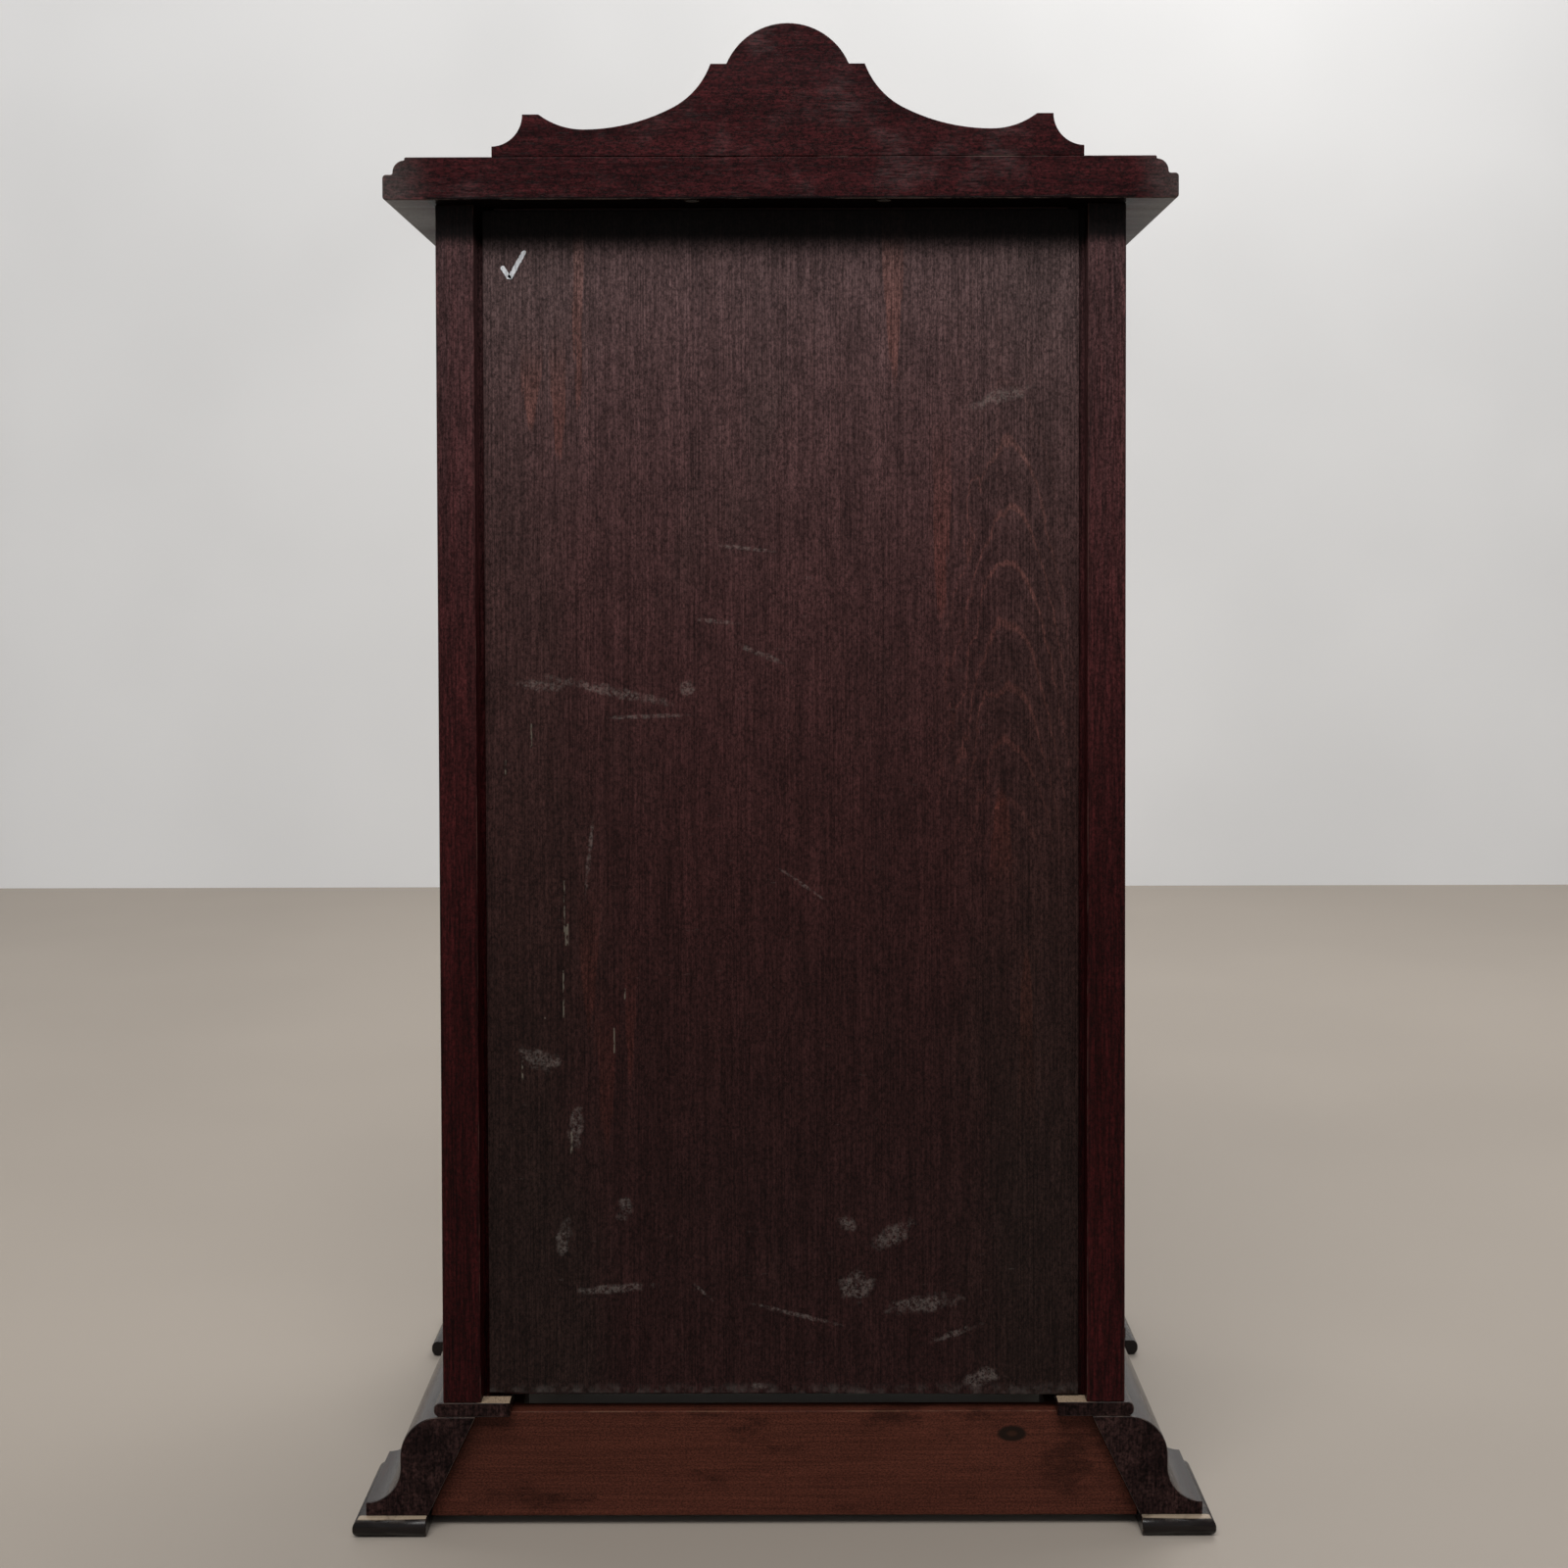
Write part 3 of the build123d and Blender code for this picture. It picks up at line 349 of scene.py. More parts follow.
# rubbed places: the middle's x and z, half the width, half the height, and how far the rub leans
RUBS = (
    (0.0745, 0.4525, 0.021, 0.0012, -0.03), (0.094, 0.4665, 0.034, 0.0030, 0.22),
    (0.052, 0.468, 0.004, 0.006, 0.5), (0.036, 0.505, 0.014, 0.0012, 0.1),
    (0.012, 0.487, 0.016, 0.0018, 0.4), (0.135, 0.470, 0.014, 0.003, 0.1),
    (0.092, 0.134, 0.021, 0.0025, -0.08), (0.122, 0.162, 0.004, 0.010, 0.2),
    (0.088, 0.178, 0.004, 0.007, 0.2), (0.045, 0.132, 0.010, 0.0013, 0.9),
    (-0.008, 0.119, 0.026, 0.0014, 0.25), (-0.041, 0.135, 0.010, 0.008, 0.0),
    (-0.060, 0.163, 0.016, 0.006, -0.6), (-0.078, 0.125, 0.019, 0.005, -0.15),
    (-0.094, 0.108, 0.015, 0.002, -0.35), (-0.111, 0.084, 0.011, 0.0045, -0.25),
    (0.014, 0.079, 0.005, 0.002, 0.0), (-0.121, 0.628, 0.017, 0.004, -0.3),
    (0.115, 0.224, 0.004, 0.012, 0.15), (-0.035, 0.17, 0.006, 0.004, 0.3),
    (0.135, 0.262, 0.012, 0.006, 0.3), (0.107, 0.375, 0.0012, 0.022, 0.1),
    (0.018, 0.545, 0.020, 0.0012, 0.1), (-0.01, 0.36, 0.02, 0.0012, 0.7),
)

# runs of old glue: x, the top's height, the length, and half the width
RUNS = (
    (0.1208, 0.362, 0.030, 0.0006), (0.1195, 0.338, 0.012, 0.0013), (0.1215, 0.312, 0.026, 0.0006),
    (0.1445, 0.262, 0.012, 0.0007), (0.1385, 0.449, 0.013, 0.0006), (0.1530, 0.429, 0.008, 0.0006),
    (0.0935, 0.280, 0.014, 0.0006), (0.1175, 0.222, 0.012, 0.0009), (0.0875, 0.302, 0.006, 0.0006),
)


def with_arches(s, colour):
    """Arches of flat-sawn grain that climb the side away from the chalk tick."""
    x, _, z = s.axes
    wander = s.sway(s.grain(20 * MM, 0.05, Z, 5, 0.6, 16), 0.022)
    off = s.plus(x, 0.125, wander)
    rise = s.plus(z, s.times(off, off, 95.0), s.times(wander, 1.5))
    arch = s.math("SINE", s.times(rise, 2 * math.pi / (33 * MM)))
    near = s.times(s.ramp(s.size(off), 0.055, 0.02), s.ramp(z, 0.33, 0.47), s.ramp(rise, 0.66, 0.58))
    colour = s.tint(colour, (1.85, 1.65, 1.5), s.ramp(arch, 0.84, 1.0), near, 0.9)
    return s.darken(colour, s.times(s.ramp(arch, 0.5, -1.0), near), 0.85)


def with_tongues(s, colour):
    x, _, z = s.axes
    jag = s.sway(s.grain(2.5 * MM, 0.05, Z, 3, 0.6, 17), 0.007)
    tongues = 0.0
    for tip_x, tip_z, width, length, way in TONGUES:
        along = s.times(s.plus(z, -tip_z), way / length)
        side = s.times(s.plus(x, -tip_x, jag), 1 / width)
        inside = s.plus(along, s.times(side, side, -1.0))
        tongues = s.most(tongues, s.times(s.ramp(inside, 0.0, 0.12), s.ramp(along, 1.0, 0.25)))
    return s.tint(colour, (1.6, 1.28, 1.12), tongues, 0.85)


def rubbed_places(s):
    x, _, z = s.axes
    streaky = s.ramp(s.grain(1.9 * MM, None, Z, 5, 0.8, 18), 0.41, 0.6)
    ragged = s.sway(s.grain(7 * MM, None, Z, 3, 0.6, 25), 4.0)
    rubbed = 0.0
    for mid_x, mid_z, half_x, half_z, lean in RUBS:
        beside, above = s.plus(x, -mid_x), s.plus(z, -mid_z)
        u = s.times(s.plus(beside, s.times(above, lean)), 1 / half_x)
        v = s.times(s.plus(above, s.times(beside, -lean)), 1 / half_z)
        rubbed = s.most(rubbed, s.ramp(s.plus(s.times(u, u), s.times(v, v), ragged), 1.4, 0.1))
    return s.times(rubbed, streaky)


def glue_runs(s):
    x, _, z = s.axes
    soft = 1 * MM
    runs = 0.0
    for run_x, top, length, half in RUNS:
        foot = top - length
        down = s.times(s.ramp(z, top, top - soft), s.ramp(z, foot - soft, foot))
        runs = s.most(runs, s.times(s.ramp(s.size(s.plus(x, -run_x)), half, half * 0.4), down))
    return s.times(runs, s.ramp(s.grain(1.5 * MM, 0.005, Z, 3, 0.6, 21), 0.42, 0.55))


def stained_ply():
    """The thin back panel: straight fine grain with arches, tongues, rubs, spots and glue runs."""
    s = Shader("stained_ply", Specular_IOR_Level=DULL)
    x, _, z = s.axes
    outside = s.ramp(s.facing[Y], 0.2, 0.6)
    straight = s.grain(6 * MM, 0.4, Z, 5, 0.6, 11)
    fibre = s.grain(0.75 * MM, 0.05, Z, 3, 0.65, 12)
    line = s.ramp(s.grain(1.7 * MM, 0.3, Z, 2, 0.5, 13), 0.58, 0.72)
    seam = s.ramp(s.grain(1.5 * MM, 0.6, Z, 1, 0.5, 24), 0.62, 0.72)
    pore = s.ramp(s.grain(0.5 * MM, 0.006, Z, 2, 0.5, 14), 0.6, 0.74)
    cloud = s.grain(60 * MM, 0.2, Z, 3, 0.5, 15)
    fleck = s.grain(1.1 * MM, 2.0 * MM, Z, 4, 0.8, 23)
    patch = s.grain(9 * MM, 0.022, Z, 4, 0.7, 26)

    margin = s.ramp(s.plus(s.size(x), s.times(cloud, 0.11)), 0.135, 0.195)
    colour = s.mix(s.most(margin, s.ramp(cloud, 0.56, 0.74)), WARM_PLY, DRAB_PLY)
    # painted sheen of light from above, over polish gone dull: paler towards the top
    colour = s.sheen_and_bloom(colour, 0.062, 0.042)
    colour = s.vary(colour, straight, *WIDE, 0.88, 1.12)
    colour = s.vary(colour, fibre, *EVEN, 0.66, 1.34)
    colour = s.vary(colour, fleck, *EVEN, 0.40, 1.60)
    colour = s.vary(colour, patch, *EVEN, 0.86, 1.14)
    colour = s.darken(colour, seam, 0.76)
    colour = s.tint(colour, (1.5, 1.35, 1.3), line, 0.22)
    colour = with_arches(s, colour)
    colour = with_tongues(s, colour)

    rubbed = s.times(rubbed_places(s), outside)
    threads = s.ramp(s.grain(3 * MM, 0.012, X, 4, 0.7, 19), 0.64, 0.78)
    faint = s.times(threads, s.ramp(s.grain(0.11, None, Z, 2, 0.5, 20), 0.5, 0.62))
    pale = s.mix(1.0, colour, PALE_RUB, "ADD")
    colour = s.lay(colour, pale, s.most(rubbed, s.times(faint, 0.4)), 0.85)

    spots = s.most(s.specks(30 * MM, 0.75 * MM, 1.0, 0.35), s.specks(17 * MM, 0.38 * MM, 2.0, 0.45))
    spots = s.times(spots, outside)
    runs = s.times(glue_runs(s), outside)
    colour = s.lay(colour, OLD_PAINT, spots, 0.5)
    colour = s.lay(colour, OLD_GLUE, runs, 0.6)
    colour = s.darken(colour, s.most(pore, s.times(line, 0.5)), 0.62)

    # painted shadow under the top board's overhang, and rubbed grey along the sawn bottom edge
    colour = s.vary(colour, z, UNDER_TOP - 30 * MM, UNDER_TOP - 14.5 * MM, 1.0, 0.05)
    sawn = s.ramp(z, PANEL_FOOT + 8.2 * MM, PANEL_FOOT + 2.7 * MM)
    colour = s.lay(colour, GREY_EDGE, sawn, s.ramp(s.grain(9 * MM, None, Z, 4, 0.7, 22), 0.4, 0.7), 0.25)
    roughness = s.plus(0.5, s.sway(cloud, 0.3), s.times(rubbed, 0.08), s.times(fibre, 0.06))
    height = s.plus(s.times(fibre, 0.5), s.times(pore, -0.9), s.times(spots, 2.0), s.times(runs, 3.0))
    return s.finish(colour, roughness, height, 0.07 * MM)


DARK_PINE, LIGHT_PINE = (0.046, 0.0133, 0.0082), (0.069, 0.0200, 0.0122)
KNOT_RIM, KNOT_HEART = (0.012, 0.006, 0.004), (0.03, 0.012, 0.007)
PINE_CHIP, BARE_PINE = (0.30, 0.17, 0.10), (0.15, 0.08, 0.045)


def pine(name, axis, seed, knot=None):
    """Stained softwood: broad soft rings, dirt, pale chips, and a knot if it has one."""
    s = Shader(name, Specular_IOR_Level=DULL)
    across = s.grain(30 * MM, 0.9, axis, 2, 0.4, seed)
    if knot:
        knot_x, knot_z = knot
        beside = s.times(s.plus(s.axes[X], -knot_x), 0.55)
        above = s.plus(s.axes[Z], -knot_z)
        away = s.math("SQRT", s.plus(s.times(beside, beside), s.times(above, above)))
        across = s.plus(across, s.ramp(away, 30 * MM, 0.0, 0.0, 0.16))
    ring = s.math("SINE", s.times(across, 110.0))
    fibre = s.grain(0.8 * MM, 0.06, axis, 3, 0.6, seed + 1)
    cloud = s.grain(50 * MM, 0.2, axis, 3, 0.55, seed + 2)
    dirt = s.ramp(s.grain(24 * MM, 0.045, axis, 5, 0.7, seed + 3), 0.5, 0.75)
    speckle = s.grain(0.8 * MM, 1.2 * MM, axis, 4, 0.75, seed + 6)

    tone = s.ramp(s.plus(s.times(ring, 0.07), cloud), 0.2, 0.85)
    colour = s.mix(tone, DARK_PINE, LIGHT_PINE)
    colour = s.vary(colour, fibre, *EVEN, 0.84, 1.16)
    colour = s.vary(colour, speckle, *EVEN, 0.52, 1.48)
    colour = s.vary(colour, dirt, 0.0, 1.0, 1.08, 0.55)
    if knot:
        colour = s.lay(colour, KNOT_RIM, s.ramp(away, 5.2 * MM, 3.6 * MM))
        colour = s.lay(colour, KNOT_HEART, s.ramp(away, 2.2 * MM, 0.8 * MM))
    torn = s.grain(1.6 * MM, None, axis, 3, 0.7, seed + 7)
    large = s.ramp(s.plus(s.specks(26 * MM, 1.9 * MM, seed + 4, 0.3), torn), 1.22, 1.42)
    small = s.specks(13 * MM, 0.45 * MM, seed + 8, 0.3)
    colour = s.lay(colour, PINE_CHIP, s.most(large, small), 0.75)
    gaps = s.ramp(s.grain(5 * MM, 0.03, axis, 4, 0.7, seed + 5), 0.45, 0.6)
    colour = s.lay(colour, BARE_PINE, s.attribute("edge"), gaps, 0.4)
    colour = s.darken(colour, s.end_grain(axis), 0.45)
    roughness = s.plus(0.5, s.sway(cloud, 0.35), s.times(dirt, 0.1))
    return s.finish(colour, roughness, s.plus(s.times(fibre, 0.6), s.times(ring, 0.15)), 0.07 * MM)


def sawn_end():
    """The unpolished back end of a moulding: coarse dark end grain, sawn streaks and a black rim."""
    s = Shader("sawn_end", Specular_IOR_Level=0.06)
    lump = s.grain(2.2 * MM, None, Y, 5, 0.75, 91)
    streak = s.grain(1.1 * MM, 9 * MM, Z, 3, 0.7, 92)
    cloud = s.grain(12 * MM, None, Y, 3, 0.5, 93)
    colour = s.mix(s.ramp(cloud, *WIDE), (0.009, 0.0042, 0.0040), (0.022, 0.0105, 0.0095))
    colour = s.vary(colour, lump, *HARD, 0.35, 1.7)
    colour = s.vary(colour, streak, *EVEN, 0.55, 1.45)
    colour = s.lay(colour, (0.004, 0.003, 0.003), s.attribute("edge"))
    pale = s.times(s.ramp(lump, 0.64, 0.74), s.ramp(cloud, 0.45, 0.6), 0.35)
    colour = s.lay(colour, (0.09, 0.06, 0.045), pale)
    height = s.plus(lump, s.times(streak, 0.5))
    return s.finish(colour, s.ramp(lump, *WIDE, 0.85, 0.65), height, 0.25 * MM)


def ebonised():
    """Near-black polish over turned pads, with dust on top and rubbed through along the arrises."""
    s = Shader("ebonised_wood", Specular_IOR_Level=0.28)
    fibre = s.grain(0.8 * MM, 0.02, Y, 4, 0.6, 31)
    cloud = s.grain(18 * MM, None, Y, 3, 0.5, 32)
    gaps = s.ramp(s.grain(4 * MM, None, Y, 4, 0.7, 33), 0.5, 0.62)
    bare = s.times(s.attribute("edge"), gaps)
    settled = s.ramp(s.grain(6 * MM, None, Y, 5, 0.7, 34), 0.4, 0.75)
    dust = s.times(s.ramp(s.facing[Z], 0.6, 0.95), settled)
    tone = s.ramp(s.plus(fibre, s.times(cloud, 0.5)), 0.5, 1.0)
    colour = s.mix(tone, (0.0045, 0.0035, 0.0035), (0.010, 0.0062, 0.0055))
    colour = s.lay(colour, (0.16, 0.10, 0.065), bare, 0.45)
    colour = s.lay(colour, (0.22, 0.17, 0.13), dust, 0.22)

    # unpolished wood on top, behind the posts
    behind = s.ramp(s.axes[Y], BACK - 1 * MM, BACK)
    raw = s.times(behind, s.ramp(s.facing[Z], 0.9, 0.98), s.ramp(cloud, 0.3, 0.45))
    colour = s.lay(colour, (0.36, 0.28, 0.20), raw, 0.85)
    roughness = s.plus(0.22, s.sway(cloud, 0.3), s.times(dust, 0.3), s.times(bare, 0.25))
    return s.finish(colour, roughness, s.plus(fibre, s.times(cloud, 0.6)), 0.05 * MM)


def metal(name, pale, dull, rough, seed):
    """Old metal: tarnish in clouds and pits, with fine rubbing marks."""
    s = Shader(name, Metallic=1.0)
    tarnish = s.grain(3.5 * MM, None, Z, 5, 0.65, seed)
    scratch = s.grain(0.25 * MM, 0.006, Z, 3, 0.6, seed + 1)
    pit = s.specks(2.2 * MM, 0.22 * MM, seed + 2, 0.4)
    colour = s.darken(s.mix(s.ramp(tarnish, 0.38, 0.66), pale, dull), pit, 0.4)
    roughness = s.plus(rough, s.ramp(tarnish, 0.35, 0.7, 0.0, 0.25), s.times(scratch, 0.12))
    height = s.plus(s.times(scratch, 0.5), s.times(pit, -1.0), s.times(tarnish, 0.6))
    return s.finish(colour, roughness, height, 0.03 * MM)


def clear_glass():
    """Old drawn glass: faintly green, with a slow ripple and a film of dust."""
    s = Shader("glass", Transmission_Weight=1.0, IOR=1.46)
    ripple = s.grain(60 * MM, 0.3, Z, 1, 0.4, 51)
    film = s.grain(22 * MM, None, Z, 5, 0.7, 52)
    colour = s.mix(s.ramp(film, *WIDE), (0.93, 0.965, 0.945), (0.90, 0.945, 0.925))
    return s.finish(colour, s.ramp(film, 0.4, 0.8, 0.0, 0.03), ripple, 0.05 * MM)


def chalk():
    """A dry white crayon stroke, broken by the grain under it."""
    s = Shader("chalk", Specular_IOR_Level=0.2)
    dry = s.grain(0.9 * MM, 0.004, Z, 4, 0.7, 61)
    colour = s.mix(s.ramp(dry, 0.4, 0.62), (0.74, 0.76, 0.80), (0.46, 0.47, 0.50))
    return s.finish(colour, s.ramp(dry, *WIDE, 0.75, 0.9), dry, 0.06 * MM)


RED = {"dark": (0.0110, 0.0012, 0.0014), "light": (0.024, 0.0030, 0.0033), "worn": (0.10, 0.052, 0.042)}
POLISHED = {"rough": 0.26, "gloss": 0.32, "fibres": 0.35, "speckles": 0.3}
# rear posts: painted shade under the top's overhang, and a painted sheen of light from above over dull
# polish, paler upwards
REAR = {"shade_under_top": (UNDER_TOP - 24.5 * MM, UNDER_TOP - 15.5 * MM), "sheen_and_bloom": (0.050, 0.032)}
TOP = {
    "dark": (0.0150, 0.0018, 0.0025), "light": (0.034, 0.0052, 0.0062), "worn": (0.15, 0.105, 0.09),
    # the pale grey on the ends, from 0.19 to 0.225 out, is a painted reflection of the bright room
    "end": (0.03, 0.024, 0.021), "rub": 0.7, "hazy": 0.85, "ends_reflection": (0.19, 0.225),
    # painted shade darkening the top board's underside over the case
    "shade_under_top": (UNDER_TOP + 2.2 * MM, UNDER_TOP + 0.8 * MM),
    "fibre_long": 0.009, "fibres": 0.25, "speckles": 0.8,
}
PLINTH = {
    "dark": (0.0055, 0.0024, 0.0021), "light": (0.015, 0.0052, 0.0040), "worn": (0.12, 0.07, 0.05),
    "end": (0.015, 0.0080, 0.0064), "rough": 0.24, "gloss": 0.45,
}
PLINTH_KNOT = (-0.127, 0.052)

looks = {
    "mahogany_x": wood("mahogany_x", X, **RED, **POLISHED, seed=1.0),
    "mahogany_y": wood("mahogany_y", Y, **RED, **POLISHED, seed=2.0),
    "mahogany_z": wood("mahogany_z", Z, **RED, **POLISHED, seed=7.0),
    "rear_mahogany_z": wood("rear_mahogany_z", Z, **RED, **REAR, seed=3.0),
    "top_mahogany_x": wood("top_mahogany_x", X, **TOP, seed=4.0),
    "plinth_mahogany_x": wood("plinth_mahogany_x", X, **PLINTH, seed=5.0),
    "plinth_mahogany_y": wood("plinth_mahogany_y", Y, **PLINTH, seed=6.0, raw_from=BACK - 9 * MM),
    "sawn_end": sawn_end(),
    "stained_pine_x": pine("stained_pine_x", X, 71.0, PLINTH_KNOT),
    "stained_pine_z": pine("stained_pine_z", Z, 74.0),
    "stained_ply": stained_ply(),
    "ebonised_wood": ebonised(),
    "brass": metal("brass", (0.46, 0.32, 0.13), (0.13, 0.085, 0.04), 0.28, 41.0),
    "steel": metal("steel", (0.30, 0.29, 0.28), (0.09, 0.07, 0.06), 0.38, 45.0),
    "glass": clear_glass(),
}


# ---------------------------------------------------------------- worn wooden pieces

SPLIT_CORNERS = 0.004 * MM  # vertices nearer than this are one corner of the solid
LONG_ARRIS = 18 * MM  # shorter runs, such as round screw holes, stay crisp
ARRIS_STEP = 5 * MM
SHARP = math.radians(28)
STRAIGHT_ON = -0.86  # the cosine between two edges that leave a corner as one run
ROUGHNESS_SIZE, BITE_SIZE = 6 * MM, 23 * MM


def arrises(mesh):
    """The sharp outward edges that belong to a run of at least LONG_ARRIS."""
    sharp = {e for e in mesh.edges if e.is_manifold and e.is_convex and e.calc_face_angle() > SHARP}
    chosen, seen = [], set()
    for first in mesh.edges:
        if first not in sharp or first in seen:
            continue
        run, waiting = [], [first]
        seen.add(first)
        while waiting:
            edge = waiting.pop()
            run.append(edge)
            for vertex in edge.verts:
                way = (edge.other_vert(vertex).co - vertex.co).normalized()
                for other in vertex.link_edges:
                    if other in sharp and other not in seen:
                        turn = (other.other_vert(vertex).co - vertex.co).normalized()
                        if way.dot(turn) < STRAIGHT_ON:
                            seen.add(other)
                            waiting.append(other)
        if sum(edge.calc_length() for edge in run) >= LONG_ARRIS:
            chosen.extend(run)
    return chosen


def wear(point, width, chips):
    """How deep a point of a rounded arris is rubbed in, with deeper bites where it is chipped."""
    rough = max(0.0, noise.fractal(point / ROUGHNESS_SIZE, 0.6, 2.0, 3))
    bite = max(0.0, noise.noise(point / BITE_SIZE) - 0.12) * 3.0
    depth = width * (0.12 + 0.22 * rough + chips * bite * (0.4 + rough))
    return min(depth, 0.75 * width)


def worn(node, width, chips):
    """A copy of a CAD solid with rounded, rubbed and chipped arrises. It replaces the solid."""
    mesh = bmesh.new()
    mesh.from_mesh(nodes[node].data)
    bmesh.ops.remove_doubles(mesh, verts=mesh.verts, dist=SPLIT_CORNERS)
    bmesh.ops.dissolve_limit(mesh, angle_limit=math.radians(0.6), verts=mesh.verts, edges=mesh.edges)
    for edge in arrises(mesh):
        start = edge.verts[0]
        for left in range(int(edge.calc_length() / ARRIS_STEP), 1, -1):
            _, start = bmesh.utils.edge_split(edge, start, 1 / left)
    made = bmesh.ops.bevel(
        mesh, geom=arrises(mesh), offset=width, segments=2, profile=0.55,
        affect="EDGES", clamp_overlap=False,
    )
    rounding = set(made["faces"])
    edge_layer = mesh.verts.layers.float.new("edge")
    mesh.normal_update()
    for vertex in mesh.verts:
        if vertex.link_faces and all(face in rounding for face in vertex.link_faces):
            vertex.co -= vertex.normal * wear(vertex.co, width, chips)
            vertex[edge_layer] = 1.0
    copy = bpy.data.meshes.new(node + "_worn")
    mesh.to_mesh(copy)
    mesh.free()
    copy.shade_smooth()
    copy.set_sharp_from_angle(angle=math.radians(50))

    piece = bpy.data.objects.new(node + "_worn", copy)
    bpy.context.scene.collection.objects.link(piece)
    modifier = piece.modifiers.new("even_faces", "WEIGHTED_NORMAL")
    modifier.keep_sharp = True
    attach(piece, nodes[node]["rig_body"])
    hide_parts(node)
    return piece


def eased(node, width):
    """A CAD solid that stays, with its split corners joined and its edges eased."""
    piece = nodes[node]
    weld = piece.modifiers.new("weld", "WELD")
    weld.merge_threshold = SPLIT_CORNERS
    bevel = piece.modifiers.new("ease", "BEVEL")
    bevel.width = width
    bevel.segments = 2
    bevel.limit_method = "ANGLE"
    bevel.angle_limit = math.radians(35)
    bevel.use_clamp_overlap = True
    normals = piece.modifiers.new("even_faces", "WEIGHTED_NORMAL")
    normals.keep_sharp = True
    return piece


def dress(piece, look):
    piece.data.materials.clear()
    piece.data.materials.append(looks[look])


def face_back(piece, look):
    """Gives the faces that look straight back a second look, such as a moulding's sawn end."""
    piece.data.materials.append(looks[look])
    for face in piece.data.polygons:
        if face.normal.y > 0.9:
            face.material_index = len(piece.data.materials) - 1


def wooden_look(node):
    """The look of a wooden piece. Where the slot has one for each axis, the longest side's is taken."""
    if node.startswith("rear_post"):
        return "rear_mahogany_z"
    if slots[node] in looks:
        return slots[node]
    low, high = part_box(node)
    size = high - low
    return slots[node] + "_" + "xyz"[max(range(3), key=lambda axis: size[axis])]


EASED = {"brass": 0.15, "steel": 0.15, "glass": 0.3}  # slot: how far its edges are eased, in mm

# start of a wooden node's name: how far its arrises are rounded, in mm, and how much they are chipped
WEAR = {
    "rear_post": (0.7, 0.5), "front_post": (0.6, 0.3), "top_board": (0.7, 0.6), "crest": (0.45, 0.6),
    "plinth_side": (0.5, 0.5), "plinth_front": (0.5, 0.4), "plinth_back_board": (0.8, 0.6),
    "foot_pad": (0.5, 0.6), "waist_strip": (0.5, 0.7), "shelf": (0.5, 0.3),
    "bottom_board": (0.3, 0.4), "back_panel": (0.4, 0.9),
}
PLAIN_WEAR = (0.35, 0.2)

for node in sorted(nodes):
    if slots[node] in EASED:
        piece = eased(node, EASED[slots[node]] * MM)
        dress(piece, "stained_ply" if node == "back_panel_pins" else slots[node])
    else:
        width, chips = next((w for start, w in WEAR.items() if node.startswith(start)), PLAIN_WEAR)
        piece = worn(node, width * MM, chips)
        dress(piece, wooden_look(node))
        if node.startswith(("plinth_side", "waist_strip_")):
            face_back(piece, "sawn_end")


# ---------------------------------------------------------------- the mark on the back panel

# x and z of the stroke's corners
TICK = (
    (0.1535, 0.7005), (0.1515, 0.6975), (0.1492, 0.6940),
    (0.1470, 0.6975), (0.1440, 0.7030), (0.1405, 0.7090),
)
TICK_HALF_WIDTH = 1.25 * MM
TICK_STEPS = 14  # from one corner to the next
TICK_RAGGED = 1.1 * MM
CHALK_THICKNESS = 0.12 * MM


def chalk_mark():
    """A hand-made tick on the panel: one stroke of uneven width with a ragged edge."""
    face = PANEL_FACE + CHALK_THICKNESS
    path = [Vector(corner) for corner in TICK]
    legs = len(path) - 1
    last = legs * TICK_STEPS
    mesh = bmesh.new()
    left, right = [], []
    for index in range(last + 1):
        leg = min(index // TICK_STEPS, legs - 1)
        a, b = path[leg], path[leg + 1]
        at = a.lerp(b, (index - leg * TICK_STEPS) / TICK_STEPS)
        way = (b - a).normalized()
        taper = min(1.0, 0.35 + min(index, last - index) / 4)
        for sign, row in ((1, left), (-1, right)):
            ragged = noise.noise(Vector((at.x, sign, at.y)) / TICK_RAGGED)
            out = TICK_HALF_WIDTH * taper * (1.0 + 0.28 * ragged)
            row.append(mesh.verts.new((at.x - sign * way.y * out, face, at.y + sign * way.x * out)))
    for index in range(last):
        mesh.faces.new((left[index], left[index + 1], right[index + 1], right[index]))
    bmesh.ops.recalc_face_normals(mesh, faces=mesh.faces)
    stroke = bpy.data.meshes.new("chalk_tick")
    mesh.to_mesh(stroke)
    mesh.free()
    stroke.materials.append(chalk())
    piece = bpy.data.objects.new("chalk_tick", stroke)
    bpy.context.scene.collection.objects.link(piece)
    solid = piece.modifiers.new("body", "SOLIDIFY")
    solid.thickness = CHALK_THICKNESS
    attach(piece, "case")


chalk_mark()


# ---------------------------------------------------------------- surroundings

ROOM = 9.0
WALL_Y, WALL_HEIGHT = -2.11, 5
FLOOR_COLOUR, WALL_COLOUR = (0.328, 0.287, 0.246), (0.8, 0.8, 0.8)
SKY_COLOUR, SKY_STRENGTH = (0.80, 0.815, 0.835, 1.0), 0.42


def stage_plane(name, corners, colour, rough):
    mesh = bpy.data.meshes.new(name)
    mesh.from_pydata(corners, [], [range(len(corners))])
    piece = bpy.data.objects.new(name, mesh)
    bpy.context.scene.collection.objects.link(piece)
    s = Shader(name, Specular_IOR_Level=0.2)
    tone = s.grain(0.5, None, Z, 2, 0.5, 81)
    mesh.materials.append(s.finish(s.vary(colour, tone, *WIDE, 0.97, 1.03), rough))
    return piece


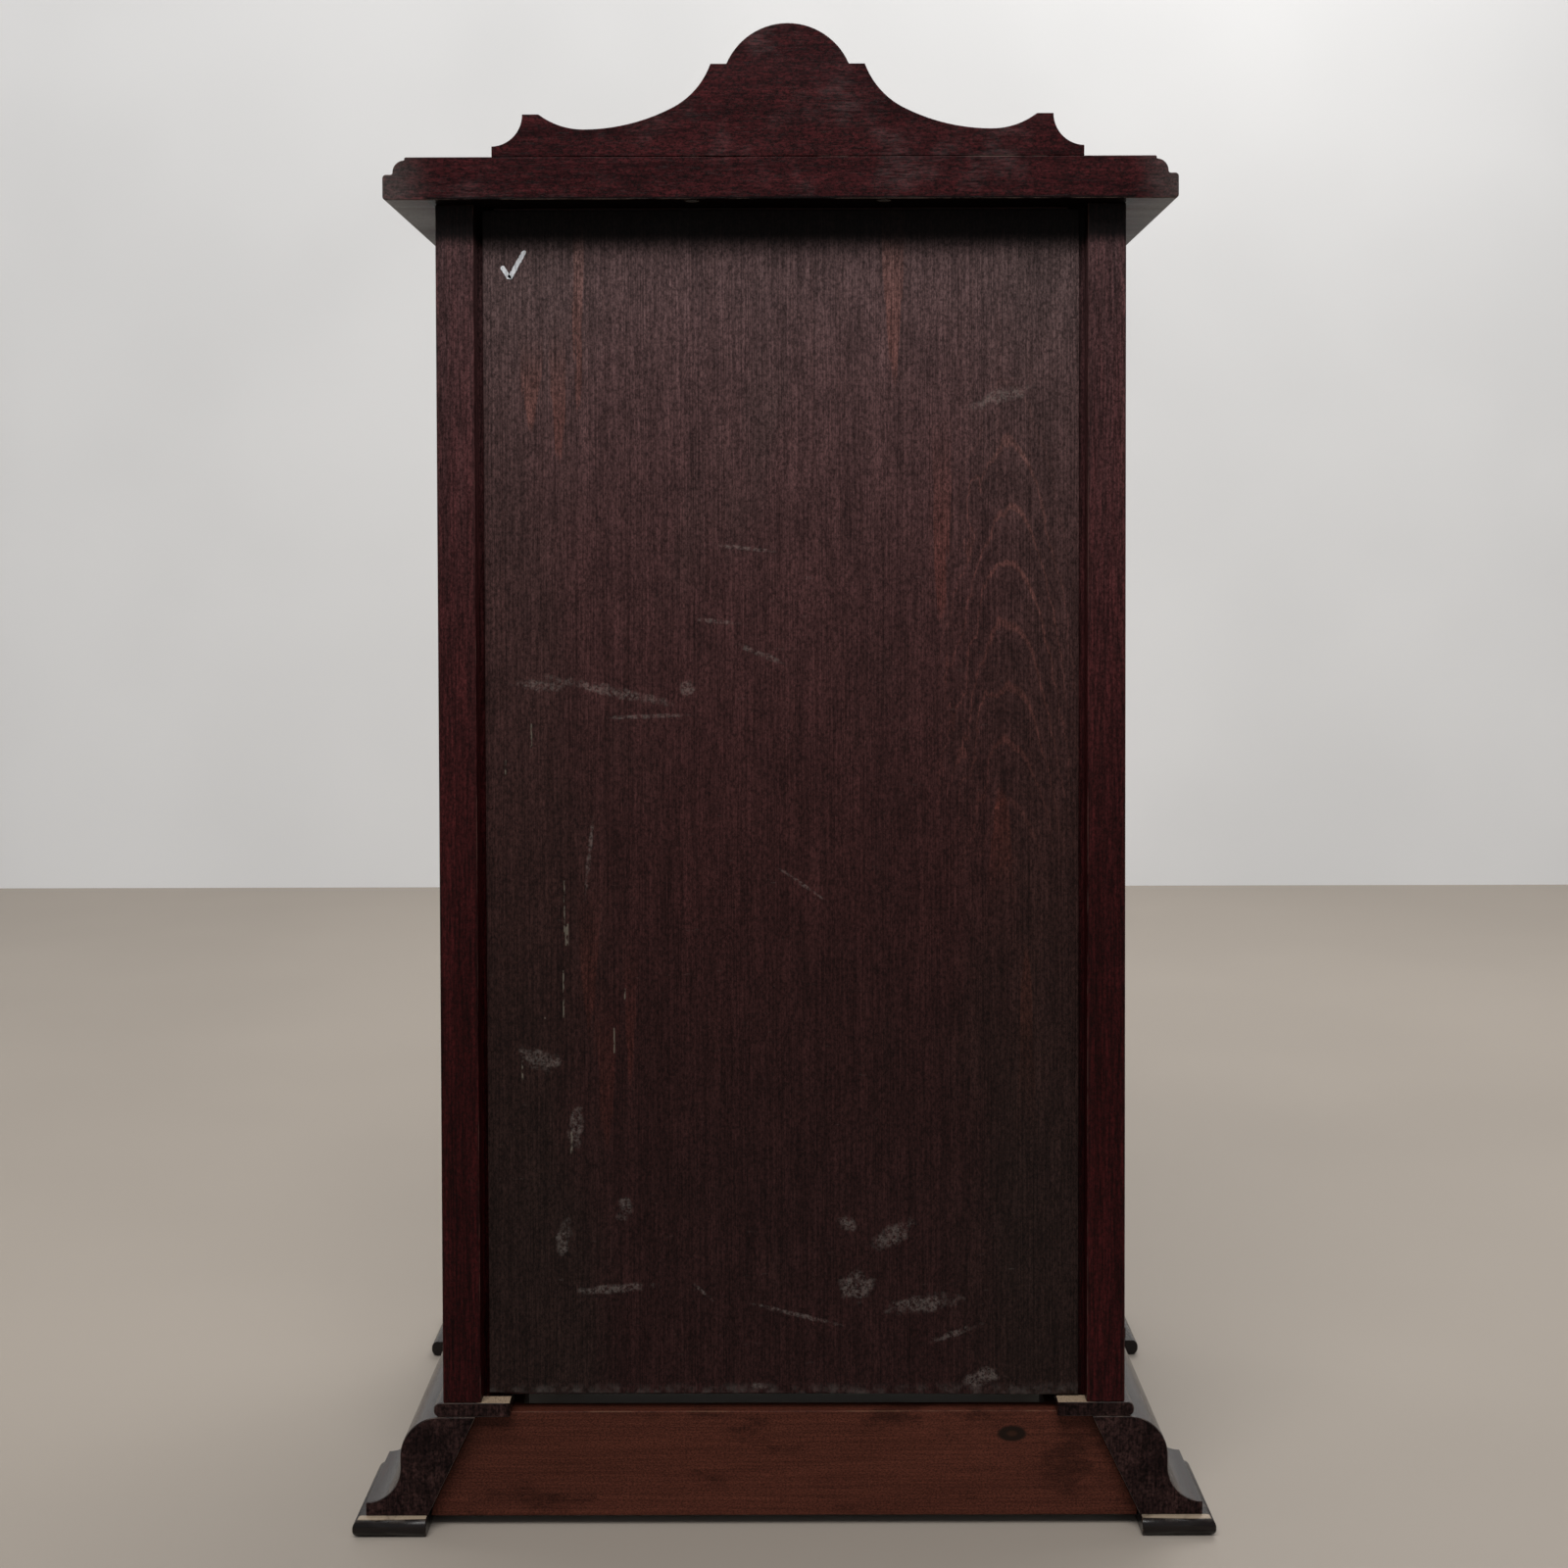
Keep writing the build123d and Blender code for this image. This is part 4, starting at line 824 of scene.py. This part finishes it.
floor = [(-ROOM, -ROOM, 0), (ROOM, -ROOM, 0), (ROOM, ROOM, 0), (-ROOM, ROOM, 0)]
stage_plane("floor", floor, FLOOR_COLOUR, 0.6)
wall = [(-ROOM, WALL_Y, 0), (ROOM, WALL_Y, 0), (ROOM, WALL_Y, WALL_HEIGHT), (-ROOM, WALL_Y, WALL_HEIGHT)]
stage_plane("wall", wall, WALL_COLOUR, 0.9).visible_shadow = False


def area_light(name, place, target, size, power, colour=(1.0, 1.0, 1.0)):
    light = bpy.data.lights.new(name, "AREA")
    light.shape = "RECTANGLE"
    light.size, light.size_y = size
    light.energy = power
    light.color = colour
    lamp = bpy.data.objects.new(name, light)
    lamp.location = place
    lamp.rotation_euler = (Vector(target) - Vector(place)).to_track_quat("-Z", "Y").to_euler()
    bpy.context.scene.collection.objects.link(lamp)


area_light("ceiling", (0.3, 2.0, 3.0), (0.0, 0.1, 0.5), (2.4, 1.4), 88, (1.0, 0.995, 0.985))
area_light("front_fill", (-0.9, -1.7, 2.3), (0.0, -0.1, 0.4), (1.6, 1.0), 22, (1.0, 0.99, 0.98))
area_light("wall_wash", (0.0, -0.9, 3.4), (0.0, WALL_Y, 0.8), (6.0, 0.6), 38)

world = bpy.data.worlds.new("room")
world.use_nodes = True
sky = world.node_tree.nodes["Background"].inputs
sky["Color"].default_value = SKY_COLOUR
sky["Strength"].default_value = SKY_STRENGTH
scene = bpy.context.scene
scene.world = world
scene.view_settings.view_transform = "Standard"


# ---------------------------------------------------------------- camera

EYE = Vector((-0.0031, 1.27645, 0.5366))
LOOK = Vector((0.0016, -1.0, -0.0241)).normalized()
ROLL = 0.0027
FOCAL, SENSOR, SHIFT = 46.9, 36.0, -0.109
UPRIGHT = Vector((0, 0, 1))

side = (LOOK.cross(UPRIGHT).normalized() - ROLL * UPRIGHT).normalized()
up = side.cross(LOOK).normalized()
camera = bpy.data.objects.new("camera", bpy.data.cameras.new("camera"))
camera.matrix_world = Matrix.Translation(EYE) @ Matrix((side, up, -LOOK)).transposed().to_4x4()
camera.data.lens = FOCAL
camera.data.sensor_width = SENSOR
camera.data.shift_y = SHIFT
camera.data.clip_start = 0.01
scene.collection.objects.link(camera)
scene.camera = camera
